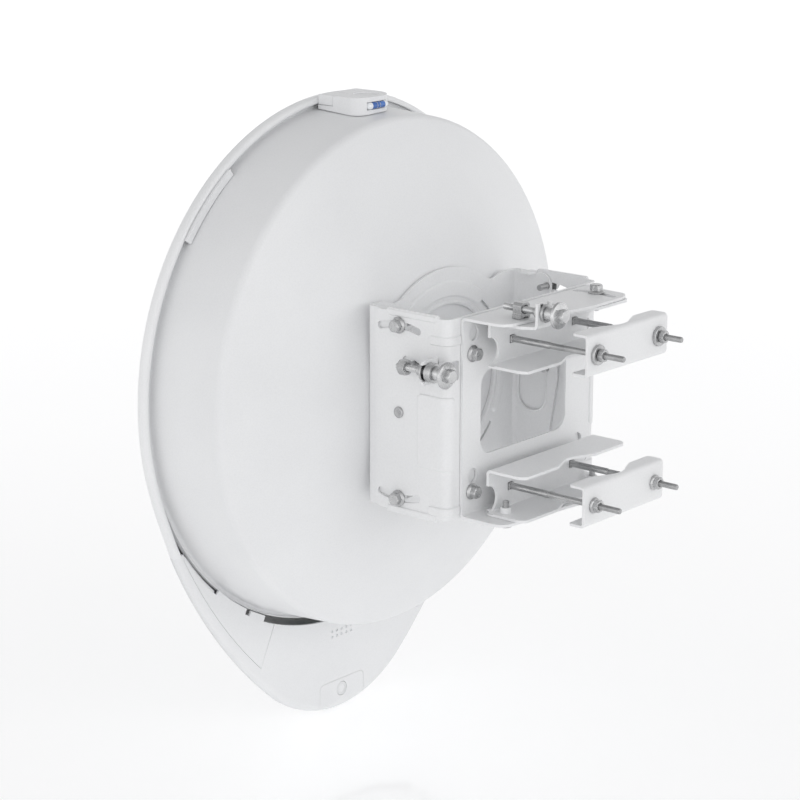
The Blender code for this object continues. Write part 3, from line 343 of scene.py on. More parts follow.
def circle(cx, cy, r, n=48):
    return [(cx + r * math.cos(2 * math.pi * i / n), cy + r * math.sin(2 * math.pi * i / n)) for i in range(n)]


def arc_slot(cx, cy, r, mid_deg, half_deg, width, n=20, ends=10):
    """Outline of a slot that follows an arc, with round ends."""
    w = width / 2
    out = arc(cx, cy, r + w, mid_deg - half_deg, mid_deg + half_deg, n)
    a = math.radians(mid_deg + half_deg)
    ex, ey = cx + r * math.cos(a), cy + r * math.sin(a)
    out += arc(ex, ey, w, mid_deg + half_deg, mid_deg + half_deg + 180, ends)[1:-1]
    out += arc(cx, cy, r - w, mid_deg + half_deg, mid_deg - half_deg, n)
    a = math.radians(mid_deg - half_deg)
    ex, ey = cx + r * math.cos(a), cy + r * math.sin(a)
    out += arc(ex, ey, w, mid_deg - half_deg + 180, mid_deg - half_deg + 360, ends)[1:-1]
    return out


def channel(a0, a1, b0, b1, t, r, n=10):
    """Section of a channel: web at a0, flanges running to a1, outer bend radius r."""
    out = [(a1, b1)]
    out += arc(a0 + r, b1 - r, r, 90, 180, n)
    out += arc(a0 + r, b0 + r, r, 180, 270, n)
    out += [(a1, b0), (a1, b0 + t)]
    out += arc(a0 + r, b0 + r, r - t, 270, 180, n)
    out += arc(a0 + r, b1 - r, r - t, 180, 90, n)
    out += [(a1, b1 - t)]
    return out


PLACE = {
    "X": lambda a, b, h: (h, a, b),
    "Y": lambda a, b, h: (a, h, b),
    "Z": lambda a, b, h: (a, b, h),
}


def prism(bm, outline, axis, lo, hi):
    put = PLACE[axis]
    low = [bm.verts.new(put(a, b, lo)) for a, b in outline]
    high = [bm.verts.new(put(a, b, hi)) for a, b in outline]
    n = len(outline)
    bm.faces.new(low)
    bm.faces.new(high[::-1])
    for i in range(n):
        bm.faces.new((low[i], high[i], high[(i + 1) % n], low[(i + 1) % n]))
    return bm


def loft(bm, rings, closed=False):
    """Joins rings of equal length; a ring of one point is a pole."""
    made = [[bm.verts.new(p) for p in ring] for ring in rings]
    pairs = list(zip(made, made[1:]))
    if closed:
        pairs.append((made[-1], made[0]))
    for a, b in pairs:
        n = max(len(a), len(b))
        for i in range(n):
            j = (i + 1) % n
            if len(a) == 1:
                bm.faces.new((a[0], b[i], b[j]))
            elif len(b) == 1:
                bm.faces.new((a[i], b[0], a[j]))
            else:
                bm.faces.new((a[i], b[i], b[j], a[j]))
    if not closed:
        for ring in (made[0], made[-1]):
            if len(ring) > 1:
                bm.faces.new(ring)
    return bm


def station(axis, centre, h, r, kind, n, cap=None):
    """One ring across an axis: o is round, h a hexagon, s a square (r is the half width); cap rounds the corners off."""
    if r <= 0:
        return [PLACE[axis](centre[0], centre[1], h)]
    out = []
    for i in range(n):
        t = 2 * math.pi * i / n
        if kind == "h":
            t0 = math.pi / 3
            rr = r / math.cos((t % t0) - t0 / 2)
        elif kind == "s":
            t0 = math.pi / 2
            rr = r / math.cos(((t + math.pi / 4) % t0) - t0 / 2)
        else:
            rr = r
        if cap:
            rr = min(rr, cap)
        out.append(PLACE[axis](centre[0] + rr * math.cos(t), centre[1] + rr * math.sin(t), h))
    return out


def turned(bm, axis, centre, steps, n=48, closed=False):
    rings = []
    for s in steps:
        h, r, kind = s[:3]
        rings.append(station(axis, centre, h, r, kind, n, s[3] if len(s) > 3 else None))
    return loft(bm, rings, closed)


def steps_along(base, sign, rows):
    return [(base + sign * row[0], *row[1:]) for row in rows]


def thread(bm, axis, centre, lo, hi, major, depth, pitch=1.0, n=24, per=8):
    """A helical thread from lo to hi, tapering out at both ends."""
    count = max(8, int(round((hi - lo) / pitch * per)))
    rings = []
    for k in range(count + 1):
        h = lo + (hi - lo) * k / count
        fade = min(1.0, (h - lo) / pitch, (hi - h) / pitch)
        ring = []
        for i in range(n):
            t = i / n
            phase = ((h / pitch) - t) % 1.0
            crest = abs(phase - 0.5) * 2
            crest = max(0.0, min(1.0, (crest - 0.14) / 0.72))
            r = major - depth * (1 - crest) - (1 - max(0.0, fade)) * 0.35
            a = 2 * math.pi * t
            ring.append(PLACE[axis](centre[0] + r * math.cos(a), centre[1] + r * math.sin(a), h))
        rings.append(ring)
    return loft(bm, rings)


def sheet_pad(bm, put, u0, u1, v0, v1, radius, height, slope, step=0.5, open_ends=(), sink=0.7):
    """A raised panel on a sheet. put(u, v, h) gives a point h outside the sheet's face."""
    nu, nv = max(2, int((u1 - u0) / step)), max(2, int((v1 - v0) / step))
    cu, cv, hu, hv = (u0 + u1) / 2, (v0 + v1) / 2, (u1 - u0) / 2, (v1 - v0) / 2
    top, low = [], []
    for i in range(nu + 1):
        for j in range(nv + 1):
            u, v = u0 + (u1 - u0) * i / nu, v0 + (v1 - v0) * j / nv
            du, dv = hu - abs(u - cu), hv - abs(v - cv)
            if "u1" in open_ends and u > cu:
                du = 1e3
            if "u0" in open_ends and u < cu:
                du = 1e3
            if du < radius and dv < radius:
                d = radius - math.hypot(radius - du, radius - dv)
            else:
                d = min(du, dv)
            t = max(0.0, min(1.0, d / slope))
            h = -0.12 + (height + 0.12) * t * t * (3 - 2 * t) if d > 0 else -0.12
            top.append(bm.verts.new(put(u, v, h)))
            low.append(bm.verts.new(put(u, v, -sink)))
    row = nv + 1
    for i in range(nu):
        for j in range(nv):
            a, b, c, d = i * row + j, i * row + j + 1, (i + 1) * row + j + 1, (i + 1) * row + j
            bm.faces.new((top[a], top[b], top[c], top[d]))
            bm.faces.new((low[d], low[c], low[b], low[a]))
    edge = [i * row for i in range(nu + 1)]
    edge += [nu * row + j for j in range(1, nv + 1)]
    edge += [i * row + nv for i in range(nu - 1, -1, -1)]
    edge += [j for j in range(nv - 1, 0, -1)]
    for k, a in enumerate(edge):
        b = edge[(k + 1) % len(edge)]
        bm.faces.new((top[a], top[b], low[b], low[a]))
    return bm


def join(target, *others):
    """Merges other objects' meshes into the target as further shells."""
    bm = bmesh.new()
    bm.from_mesh(target.data)
    for other in others:
        bm.from_mesh(other.data)
    bm.to_mesh(target.data)
    bm.free()
    for other in others:
        mesh = other.data
        bpy.data.objects.remove(other)
        bpy.data.meshes.remove(mesh)
    return target


# =========================================================================
# pole clamps
# =========================================================================
SHEET = 2.5
POLE_Z = 65.5
BOLT_X = 44.5
WEB_BACK = -59.1
INNER_H = 20.5
LUG_Y = -12.4
AZ_PIVOT = (0.0, -47.0)
AZ_SCREW = (59.7, 97.0)
TRUNNION_Y = -36.0


def lock_places(s):
    return [(-63.0, -47.0)] if s > 0 else [(63.0, -47.0), (-63.0, -47.0)]


def inner_plan(tab):
    half, front = 75.0, -18.5
    right = [(half, WEB_BACK - 3), (half, -24.5, 4), (71, front, 6)]
    if tab:
        right += [(71.5, front, 1.5), (70.0, -15.2), (50.0, -15.2), (48.5, front, 1.5)]
    right += [(26.5, front, 8)]
    a = math.degrees(math.atan2(-24.0, 14.0))
    left = [(-26.5, front, 8), (-71, front, 6), (-half, -24.5, 4), (-half, WEB_BACK - 3)]
    return rounded(right + arc(0, 0, 27.3, a, -180 - a, 32) + left)


def inner_clamp(node, zc, tab):
    bm = bmesh.new()
    prism(bm, channel(WEB_BACK, -14.0, zc - INNER_H, zc + INNER_H, SHEET, 4.0), "X", -75, 75)
    clamp = thing(node + "_pressing", bm, POWDER)
    bm = bmesh.new()
    prism(bm, inner_plan(tab), "Z", zc - INNER_H - 5, zc + INNER_H + 5)
    cut(clamp, bm, "INTERSECT")
    if tab:
        bm = bmesh.new()
        prism(bm, box2(46, 74, -18.5, -10), "Z", zc - INNER_H - 2, zc)
        cut(clamp, bm)
        zt = zc + INNER_H
        yb = LUG_Y + SHEET / 2
        profile = [(-17.5, zt - SHEET)]
        profile += arc(yb - 4, zt + 1.5, 4.0, -90, 0, 10)
        profile += [(yb, zt + 20.0), (yb - SHEET, zt + 20.0)]
        profile += arc(yb - 4, zt + 1.5, 1.5, 0, -90, 8)
        profile += [(-17.5, zt)]
        bm = bmesh.new()
        prism(bm, profile, "X", AZ_SCREW[0] - 9.7, AZ_SCREW[0] + 9.7)
        cut(clamp, bm, "UNION")
        bm = bmesh.new()
        slot = [(AZ_SCREW[0] - 6.2, zt + 25)]
        slot += arc(AZ_SCREW[0], AZ_SCREW[1] - 0.5, 6.2, 180, 360, 24)
        slot += [(AZ_SCREW[0] + 6.2, zt + 25)]
        prism(bm, slot, "Y", yb - 6, yb + 4)
        cut(clamp, bm)
    bm = bmesh.new()
    for side in (1, -1):
        prism(bm, circle(side * 75.0, zc - 6.5, 12.3, 64), "Y", WEB_BACK - 2, WEB_BACK + 7.5)
        prism(bm, box2(side * BOLT_X - 3.6, side * BOLT_X + 3.6, zc - 3.6, zc + 3.6, 0.8, 3), "Y", WEB_BACK - 2, WEB_BACK + 5)
    cut(clamp, bm)
    s = 1 if zc > 0 else -1
    inside = s * (abs(zc) + INNER_H - SHEET)
    bm = bmesh.new()
    for x, y in lock_places(s):
        prism(bm, circle(x, y, 3.25, 32), "Z", *sorted((inside - s * 2, inside + s * 6)))
    prism(bm, circle(*AZ_PIVOT, 4.3, 32), "Z", *sorted((inside - s * 4, inside + s * 6)))
    cut(clamp, bm)
    soften(clamp, 0.42, 2)
    rings = []
    for x, y in lock_places(s):
        bm = bmesh.new()
        rows = [(-0.6, 5.0, "o"), (3.9, 5.0, "o"), (4.5, 4.75, "o"), (4.8, 4.3, "o"), (4.8, 3.25, "o"), (-0.6, 3.25, "o")]
        turned(bm, "Z", (x, y), steps_along(inside, -s, rows), 40, closed=True)
        rings.append(thing("collar", bm, POWDER))
    join(clamp, *rings)
    return place(clamp, "powder_coated_steel", node)


inner_clamp("upper_inner_clamp", POLE_Z, True)
inner_clamp("lower_inner_clamp", -POLE_Z, False)


def outer_clamp(node, zc):
    bm = bmesh.new()
    section = [(-a, b) for a, b in channel(-32.5, -16.0, zc - 18.2, zc + 18.2, SHEET, 4.0)]
    prism(bm, section, "X", -58, 58)
    clamp = thing(node + "_pressing", bm, POWDER)
    a = math.degrees(math.atan2(22.6, 14.5))
    plan = [(58, 36), (58, 16, 3.0), (29.5, 16, 9)]
    plan += arc(0, 0, 26.8, a, 180 - a, 28)
    plan += [(-29.5, 16, 9), (-58, 16, 3.0), (-58, 36)]
    bm = bmesh.new()
    prism(bm, rounded(plan), "Z", zc - 23, zc + 23)
    cut(clamp, bm, "INTERSECT")
    bm = bmesh.new()
    for side in (1, -1):
        prism(bm, circle(side * BOLT_X, zc, 3.25, 40), "Y", 26, 37)
    cut(clamp, bm)
    soften(clamp, 0.42, 2)
    return place(clamp, "powder_coated_steel", node)


outer_clamp("upper_outer_clamp", POLE_Z)
outer_clamp("lower_outer_clamp", -POLE_Z)

for level, zc in (("upper", POLE_Z), ("lower", -POLE_Z)):
    for name, side in (("near", 1), ("far", -1)):
        end = 60.0 if side > 0 else 57.0
        c = (side * BOLT_X, zc)
        back = WEB_BACK - GAP
        bm = bmesh.new()
        rows = [(back - 3.4, 0.8, "o"), (back - 3.35, 2.0, "o"), (back - 3.1, 3.4, "o"), (back - 2.6, 4.8, "o"), (back - 1.8, 6.0, "o"), (back - 1.0, 6.6, "o"),
                (back - 0.2, 6.75, "o"), (back, 6.6, "o"), (back + 0.01, 3.1, "s", 4.2), (back + 4.4, 3.1, "s", 4.2),
                (back + 4.6, 2.98, "s", 3.6), (back + 4.62, 2.95, "o"), (-16.9, 2.95, "o"), (-16.4, 2.6, "o"), (-14.5, 2.45, "o")]
        turned(bm, "Y", c, rows, 48)
        thread(bm, "Y", c, -15.5, end, 2.65, 0.22)
        bolt = thing("%s_carriage_bolt_%s" % (level, name), bm, ROD, 40)
        place(bolt, "zinc_steel", "%s_clamp_bolt_%s" % (level, name))
        face = 32.5 + GAP
        if level == "upper":
            bm = bmesh.new()
            rows = [(face, 8.5, "o"), (face + 0.2, 8.75, "o"), (face + 2.1, 8.75, "o"), (face + 2.5, 8.6, "o"), (face + 2.8, 8.1, "o"),
                    (face + 2.8, 3.3, "o"), (face, 3.3, "o")]
            turned(bm, "Y", c, rows, 64, closed=True)
            place(thing("upper_plain_washer_%s" % name, bm, ZINC, 30), "zinc_steel", "upper_washer_%s" % name)
            n0 = face + 3.1
            rows = [(n0, 4.8, "o"), (n0 + 0.25, 5.0, "h", 5.2), (n0 + 0.7, 5.0, "h", 5.7), (n0 + 4.2, 5.0, "h", 5.7), (n0 + 4.7, 5.0, "h", 5.2),
                    (n0 + 4.9, 4.7, "o"), (n0 + 4.9, 3.4, "o"), (n0 + 4.3, 2.85, "o"), (n0 + 0.6, 2.85, "o"), (n0, 3.3, "o")]
        else:
            n0 = face
            rows = [(n0, 6.6, "o"), (n0 + 0.25, 6.9, "o"), (n0 + 0.9, 6.9, "o"), (n0 + 1.4, 6.5, "o"), (n0 + 2.0, 5.8, "o"), (n0 + 2.2, 5.0, "h", 5.7),
                    (n0 + 5.9, 5.0, "h", 5.7), (n0 + 6.45, 5.0, "h", 5.2), (n0 + 6.7, 4.7, "o"), (n0 + 6.7, 3.4, "o"), (n0 + 6.1, 2.85, "o"),
                    (n0 + 0.6, 2.85, "o"), (n0, 3.3, "o")]
        bm = bmesh.new()
        turned(bm, "Y", c, rows, 60, closed=True)
        place(thing("%s_hex_nut_%s" % (level, name), bm, ZINC, 28), "zinc_steel", "%s_nut_%s" % (level, name))


# =========================================================================
# azimuth stage
# =========================================================================
AZ_BACK = -76.5
AZ_HALF_Z = 88.8
BRACKET_BOLTS = [(77.0, 55.5), (-77.0, 55.5), (77.0, -66.7), (-77.0, -66.7)]
SIGHT_HOLES = [(75.5, 73.0), (-75.5, 73.0), (75.5, -53.0), (-75.5, -53.0)]
AZ_PLAN = [
    (90, AZ_BACK - 3), (90, -43, 10), (88.5, -33, 6), (81, -28.5, 8), (64.5, -27, 14), (9, -23, 26),
    (-21, -18.7, 26), (-64, -19.5, 10), (-78, -25, 9), (-80, -52.6, 10), (-90, -70, 5), (-90, AZ_BACK - 3),
]
bm = bmesh.new()
prism(bm, channel(AZ_BACK, -17, -AZ_HALF_Z, AZ_HALF_Z, SHEET, 5.0), "X", -90, 90)
azimuth = thing("azimuth_bracket_pressing", bm, POWDER)
bm = bmesh.new()
prism(bm, rounded(AZ_PLAN), "Z", -AZ_HALF_Z - 4, AZ_HALF_Z + 4)
cut(azimuth, bm, "INTERSECT")
bm = bmesh.new()
prism(bm, box2(-57, 65, -37.5, 37.5, 14, 14), "Y", AZ_BACK - 4, AZ_BACK + 7)
for x, z in BRACKET_BOLTS:
    prism(bm, circle(x, z, 3.25, 40), "Y", AZ_BACK - 4, AZ_BACK + 7)
for x, z in SIGHT_HOLES:
    prism(bm, circle(x, z, 6.5, 56), "Y", AZ_BACK - 4, AZ_BACK + 7)
cut(azimuth, bm)
bm = bmesh.new()
for s in (1, -1):
    lo, hi = sorted((s * (AZ_HALF_Z - 6), s * (AZ_HALF_Z + 4)))
    prism(bm, circle(*AZ_PIVOT, 4.3, 40), "Z", lo, hi)
    prism(bm, arc_slot(*AZ_PIVOT, 63.0, 180, 18.0, 6.6), "Z", lo, hi)
prism(bm, arc_slot(*AZ_PIVOT, 63.0, 0, 18.0, 6.6), "Z", -AZ_HALF_Z - 4, -AZ_HALF_Z + 6)
prism(bm, circle(AZ_SCREW[0], TRUNNION_Y, 3.0, 32), "Z", AZ_HALF_Z - 6, AZ_HALF_Z + 4)
cut(azimuth, bm)
soften(azimuth, 0.42, 2)
place(azimuth, "powder_coated_steel", "azimuth_bracket")


def hex_bolt(bm, axis, c, face, sign, shank_end, threaded=True):
    """Flanged hex head on the sign side of face, shank towards shank_end."""
    rows = [(7.6, 1.0, "o"), (7.6, 4.5, "o"), (7.45, 4.75, "o"), (7.25, 5.0, "h", 5.15), (6.7, 5.0, "h", 5.72), (2.5, 5.0, "h", 5.72),
            (2.2, 5.7, "o"), (1.5, 6.7, "o"), (1.05, 7.1, "o"), (0.8, 7.25, "o"), (0.15, 7.25, "o"), (0.0, 7.1, "o")]
    out = [(face + sign * r[0], *r[1:]) for r in rows]
    out += [(face - sign * 0.01, 2.9, "o"), (face - sign * 1.2, 2.85, "o"), (shank_end + sign * 2.0, 2.6, "o")]
    turned(bm, axis, c, out, 60)
    lo, hi = sorted((face - sign * 0.6, shank_end))
    thread(bm, axis, c, lo, hi, 2.95, 0.4)


for x, z in BRACKET_BOLTS:
    bm = bmesh.new()
    hex_bolt(bm, "Y", (x, z), AZ_BACK + SHEET + GAP, 1, -85.8)
    label = ("upper" if z > 0 else "lower") + ("_near" if x > 0 else "_far")
    place(thing("bracket_hex_bolt_" + label, bm, ZINC, 28), "zinc_steel", "bracket_bolt_" + label)

for s, name in ((1, "upper"), (-1, "lower")):
    for x, y in lock_places(s):
        bm = bmesh.new()
        hex_bolt(bm, "Z", (x, y), s * (AZ_HALF_Z + GAP), s, s * 73.0)
        label = "%s_%s" % (name, "near" if x > 0 else "far")
        place(thing("azimuth_hex_bolt_" + label, bm, ZINC, 28), "zinc_steel", "azimuth_lock_bolt_" + label)
    bm = bmesh.new()
    head = s * (POLE_Z + INNER_H - SHEET - GAP)
    rows = [(-2.4, 2.0, "o"), (-2.35, 4.4, "o"), (-2.1, 5.2, "o"), (-1.5, 6.1, "o"), (-0.6, 6.5, "o"), (0, 6.5, "o"), (0.01, 4.0, "o"), (5.1, 4.0, "o"), (5.4, 3.7, "o")]
    turned(bm, "Z", AZ_PIVOT, steps_along(head, s, rows), 48)
    place(thing("azimuth_rivet_" + name, bm, ZINC, 30), "zinc_steel", "azimuth_pivot_" + name)

# trunnion yoke for the azimuth screw
bm = bmesh.new()
z0 = AZ_HALF_Z + GAP
xs, zs = AZ_SCREW
yoke = rounded([
    (xs - 7, z0, 0.6), (xs - 4, z0, 0.3), (xs - 4, z0 + 1.6, 0.4), (xs + 4, z0 + 1.6, 0.4), (xs + 4, z0, 0.3), (xs + 7, z0, 0.6),
    (xs + 7, z0 + 3.0, 0.5), (xs + 5.8, z0 + 4.6, 0.8), (xs + 6.2, zs + 3.5, 1.5), (xs + 4.4, zs + 6.0, 1.2), (xs - 4.4, zs + 6.0, 1.2), (xs - 6.2, zs + 3.5, 1.5),
    (xs - 5.8, z0 + 4.6, 0.8), (xs - 7, z0 + 3.0, 0.5),
], 4)
prism(bm, yoke, "Y", TRUNNION_Y - 4.5, TRUNNION_Y + 4.5)
trunnion = thing("azimuth_trunnion_yoke", bm, ZINC)
bm = bmesh.new()
prism(bm, circle(xs, zs, 4.1, 48), "Y", TRUNNION_Y - 6, TRUNNION_Y + 6)
cut(trunnion, bm)
soften(trunnion, 0.35, 2)
bm = bmesh.new()
turned(bm, "Z", (xs, TRUNNION_Y), [(86.7, 2.2, "o"), (87.2, 2.7, "o"), (z0 + 2.6, 2.7, "o")], 32)
join(trunnion, thing("pin", bm, ZINC))
place(trunnion, "zinc_steel", "azimuth_trunnion")


def seat_bush(name, node, centre, plate_lo, plate_hi, rear, front, r_rear, r_front):
    lo, hi = plate_lo - GAP, plate_hi + GAP
    rows = [(rear, 4.3, "o"), (rear + 0.3, 4.6, "o"), (lo - 5.2, 4.6, "o"), (lo - 4.9, 5.6, "o"), (lo - 4.2, 5.9, "o"), (lo - 3.5, 5.6, "o"), (lo - 3.2, 4.7, "o"),
            (lo - 2.3, 4.7, "o"), (lo - 2.2, r_rear - 0.4, "o"), (lo - 1.8, r_rear, "o"), (lo - 0.3, r_rear, "o"), (lo, r_rear - 0.3, "o"),
            (lo + 0.01, 4.1, "o"), (hi - 0.01, 4.1, "o"), (hi, r_front - 0.3, "o"), (hi + 0.3, r_front, "o"), (front - 0.4, r_front, "o"), (front, r_front - 0.4, "o"),
            (front, 3.3, "o"), (rear, 3.3, "o")]
    bm = bmesh.new()
    turned(bm, "Y", centre, rows, 56, closed=True)
    place(thing(name, bm, ZINC, 30), "zinc_steel", node)


def adjust_screw(name, node, centre, tip, neck, disc):
    rows = [(tip + 2.5, 2.5, "o"), (neck - 0.6, 2.5, "o"), (neck - 0.3, 5.6, "o"), (neck, 6.0, "o"), (disc - 1.3, 6.0, "o"), (disc - 1.0, 6.6, "o"), (disc - 0.8, 9.0, "o"),
            (disc - 0.5, 10.3, "o"), (disc, 11.2, "o"), (disc + 0.4, 11.5, "o"), (disc + 1.9, 11.5, "o"), (disc + 2.4, 11.2, "o"), (disc + 2.6, 10.6, "o"),
            (disc + 2.7, 6.6, "o"), (disc + 2.9, 5.5, "h", 6.3), (disc + 7.4, 5.5, "h", 6.3), (disc + 8.1, 5.5, "h", 5.7), (disc + 8.5, 5.1, "o"), (disc + 8.5, 1.0, "o")]
    bm = bmesh.new()
    turned(bm, "Y", centre, rows, 72)
    thread(bm, "Y", centre, tip, neck, 2.95, 0.42)
    place(thing(name, bm, STEEL, 28), "screw_steel", node)


seat_bush("azimuth_screw_seat", "azimuth_seat_bush", AZ_SCREW, LUG_Y - 1.25, LUG_Y + 1.25, -20.0, -8.3, 7.6, 8.0)
adjust_screw("azimuth_screw_turned", "azimuth_adjust_screw", AZ_SCREW, -53.6, -8.0, 2.6)


# =========================================================================
# elevation stage
# =========================================================================
TY, TZ = -130.5, 0.0
TILT_OUT = 107.0
TILT_BACK = -79.3
BEND = 8.0
EL_SCREW = (119.0, 45.0)
EL_TAB_Y = -88.3
bm = bmesh.new()
section = [(b, -a) for a, b in channel(-(TILT_BACK + SHEET), 157.5, -TILT_OUT, TILT_OUT, SHEET, BEND, 14)]

prism(bm, section, "Z", -91, 91)
tilt = thing("tilt_bracket_pressing", bm, POWDER)
outline_side = []
for s in (1, -1):
    half = [(TILT_BACK + 6, s * 88.5), (-86.8, s * 88.5, 1.2), (-88.6, s * 91, 1.5), (-142.8, s * 91, 1.5), (-144.6, s * 88.5, 1.2), (-157.5, s * 88.5, 9)]
    outline_side += half if s > 0 else half[::-1]
bm = bmesh.new()
prism(bm, rounded(outline_side), "X", -TILT_OUT - 4, TILT_OUT + 4)
cut(tilt, bm, "INTERSECT")
bm = bmesh.new()
prism(bm, rounded([(105.2, 34.5), (127.5, 34.5, 3.5), (127.5, 55.5, 3.5), (105.2, 55.5)], 8), "Y", EL_TAB_Y - 1.25, EL_TAB_Y + 1.25)
cut(tilt, bm, "UNION")
bm = bmesh.new()
u_slot = [(132, EL_SCREW[1] + 7.2)] + arc(EL_SCREW[0] - 0.4, EL_SCREW[1], 7.2, 90, 270, 24) + [(132, EL_SCREW[1] - 7.2)]
prism(bm, u_slot, "Y", EL_TAB_Y - 3, EL_TAB_Y + 1.35)
prism(bm, box2(91.5, 112, 35.0, 52.0, 2.5, 8), "Y", EL_TAB_Y + 1.4, TILT_BACK + 8)
prism(bm, box2(-61, 69, -41.5, 41.5, 17, 14), "Y", TILT_BACK - 4, TILT_BACK + 8)
for x, z in BRACKET_BOLTS:
    prism(bm, circle(x, z, 3.25, 40), "Y", TILT_BACK - 4, TILT_BACK + 8)
for z in (69.5, -81.0):
    for side in (1, -1):
        prism(bm, box2(*sorted((side * 88.6, side * 90.6)), z - 4.2, z + 4.2, 0.6, 3), "Y", TILT_BACK - 4, TILT_BACK + 8)
cut(tilt, bm)
bm = bmesh.new()
for side in (1, -1):
    lo, hi = sorted((side * (TILT_OUT - 8), side * (TILT_OUT + 4)))
    prism(bm, circle(TY, TZ, 4.3, 40), "X", lo, hi)
    for mid in (90, -90):
        prism(bm, arc_slot(TY, TZ, 77.0, mid, 15.7, 6.6), "X", lo, hi)
arm = math.hypot(16.5, 45.0)
arm_deg = math.degrees(math.atan2(45.0, 16.5))
prism(bm, arc_slot(TY, TZ, arm, arm_deg, 11.0, 7.6), "X", TILT_OUT - 8, TILT_OUT + 4)
cut(tilt, bm)
soften(tilt, 0.42, 2)


def around_bend(side):
    """Path coordinate u runs along the flank (from Y -150 to the bend), round it and across the back; v is Z."""
    face = TILT_BACK + SHEET
    run = 150.0 + face - BEND
    turn = BEND * math.pi / 2

    def put(u, v, h):
        if u <= run:
            return (side * (TILT_OUT + h), -150.0 + u, v)
        if u <= run + turn:
            a = (u - run) / BEND
            return (side * (TILT_OUT - BEND + (BEND + h) * math.cos(a)), face - BEND + (BEND + h) * math.sin(a), v)
        return (side * (TILT_OUT - BEND - (u - run - turn)), face + h, v)

    return put


run = 150.0 + TILT_BACK + SHEET - BEND
turn_len = BEND * math.pi / 2
pads = []
for side in (1, -1):
    put = around_bend(side)
    bm = bmesh.new()
    sheet_pad(bm, put, 150.0 - 110.0, run + turn_len + 2.5, -45.0, 21.0, 5.0, 1.0, 1.1, 0.7)
    pads.append(thing("panel", bm, POWDER, 0))
    for z in (69.5, -81.0):
        bm = bmesh.new()
        sheet_pad(bm, put, 150.0 - 97.5, run + turn_len + 8.2, z - 4.3, z + 4.3, 3.2, 1.4, 1.2, 0.35, ("u1",))
        pads.append(thing("rib", bm, POWDER, 0))
    for s in (1, -1):
        bm = bmesh.new()
        lo, hi = sorted((s * 84.3, s * 90.4))
        sheet_pad(bm, put, 150.0 - 143.0, 150.0 - 89.0, lo, hi, 2.2, 1.2, 1.1, 0.4)
        pads.append(thing("edge_strip", bm, POWDER, 0))
join(tilt, *pads)
place(tilt, "powder_coated_steel", "tilt_bracket")
# dish bracket: U plate screwed to the dish, with pressed ring, slits and ear pockets
DISH_BASE = -169.5
EAR_OUT = 104.2
EAR_Z = 88.6
HUMP_R = 105.0
bm = bmesh.new()
section = [(b, a) for a, b in channel(DISH_BASE, -105, -EAR_OUT, EAR_OUT, SHEET, 6.0, 12)]
prism(bm, section, "Z", -HUMP_R - 1, HUMP_R + 1)
dish_bracket = thing("dish_bracket_pressing", bm, POWDER)
hump_end = math.degrees(math.asin(88.0 / HUMP_R))
top = [(EAR_OUT + 3, EAR_Z), (84, EAR_Z, 12), (68, 84.0, 10)]
top += arc(0, 0, HUMP_R, hump_end - 2, 182 - hump_end, 48)
top += [(-68, 84.0, 10), (-84, EAR_Z, 12), (-EAR_OUT - 3, EAR_Z)]
bottom = [(x, -z, *rest) for x, z, *rest in [tuple(p) for p in top]][::-1]
bm = bmesh.new()
prism(bm, rounded(top + bottom), "Y", DISH_BASE - 3, -100)
cut(dish_bracket, bm, "INTERSECT")
ear = [
    (DISH_BASE - 3, HUMP_R + 3), (DISH_BASE + 4, HUMP_R + 3), (DISH_BASE + 5, EAR_Z + 0.4), (-160, EAR_Z),
    (-127, EAR_Z, 12), (-125.5, 67, 5), (-107, 60, 7), (-107, 31, 7),
    (-117, 20, 8), (-116.5, -8, 20), (-124.5, -55, 20), (-127, -EAR_Z, 12), (-160, -EAR_Z),
    (DISH_BASE + 5, -EAR_Z - 0.4), (DISH_BASE + 4, -HUMP_R - 3), (DISH_BASE - 3, -HUMP_R - 3),
]
bm = bmesh.new()
prism(bm, rounded(ear, 10), "X", -EAR_OUT - 3, EAR_OUT + 3)
cut(dish_bracket, bm, "INTERSECT")
bm = bmesh.new()
prism(bm, circle(0, 0, 71.0, 120), "Y", DISH_BASE - 3, DISH_BASE + 6)
for a in (45, 135, 225, 315):
    prism(bm, arc_slot(0, 0, 84, a, 7, 3.0, 10, 6), "Y", DISH_BASE - 3, DISH_BASE + 6)
cut(dish_bracket, bm)
bm = bmesh.new()
for side in (1, -1):
    lo, hi = sorted((side * (EAR_OUT - 6), side * (EAR_OUT + 4)))
    prism(bm, circle(TY, TZ, 4.3, 40), "X", lo, hi)
    for z in (77.0, -77.0):
        prism(bm, circle(TY, z, 3.25, 40), "X", lo, hi)
prism(bm, circle(-114.0, EL_SCREW[1], 3.3, 32), "X", EAR_OUT - 6, EAR_OUT + 4)
cut(dish_bracket, bm)
# pressed pockets on the inner faces of the ears
for side in (1, -1):
    inside = side * (EAR_OUT - SHEET)
    rings = []
    for depth, grow in ((-0.6, 1.5), (0.0, 1.0), (0.5, 0.45), (1.0, 0.1), (1.3, -0.6)):
        ring = rounded([(-161.5 - grow, -43 - grow, 15.5 + grow), (-130.0 + grow, -43 - grow, 15.5 + grow), (-130.0 + grow, 30 + grow, 15.5 + grow), (-161.5 - grow, 30 + grow, 15.5 + grow)], 14)
        rings.append([(inside + side * depth, y, z) for y, z in ring])
    bm = bmesh.new()
    loft(bm, rings)
    cut(dish_bracket, bm)
soften(dish_bracket, 0.42, 2)


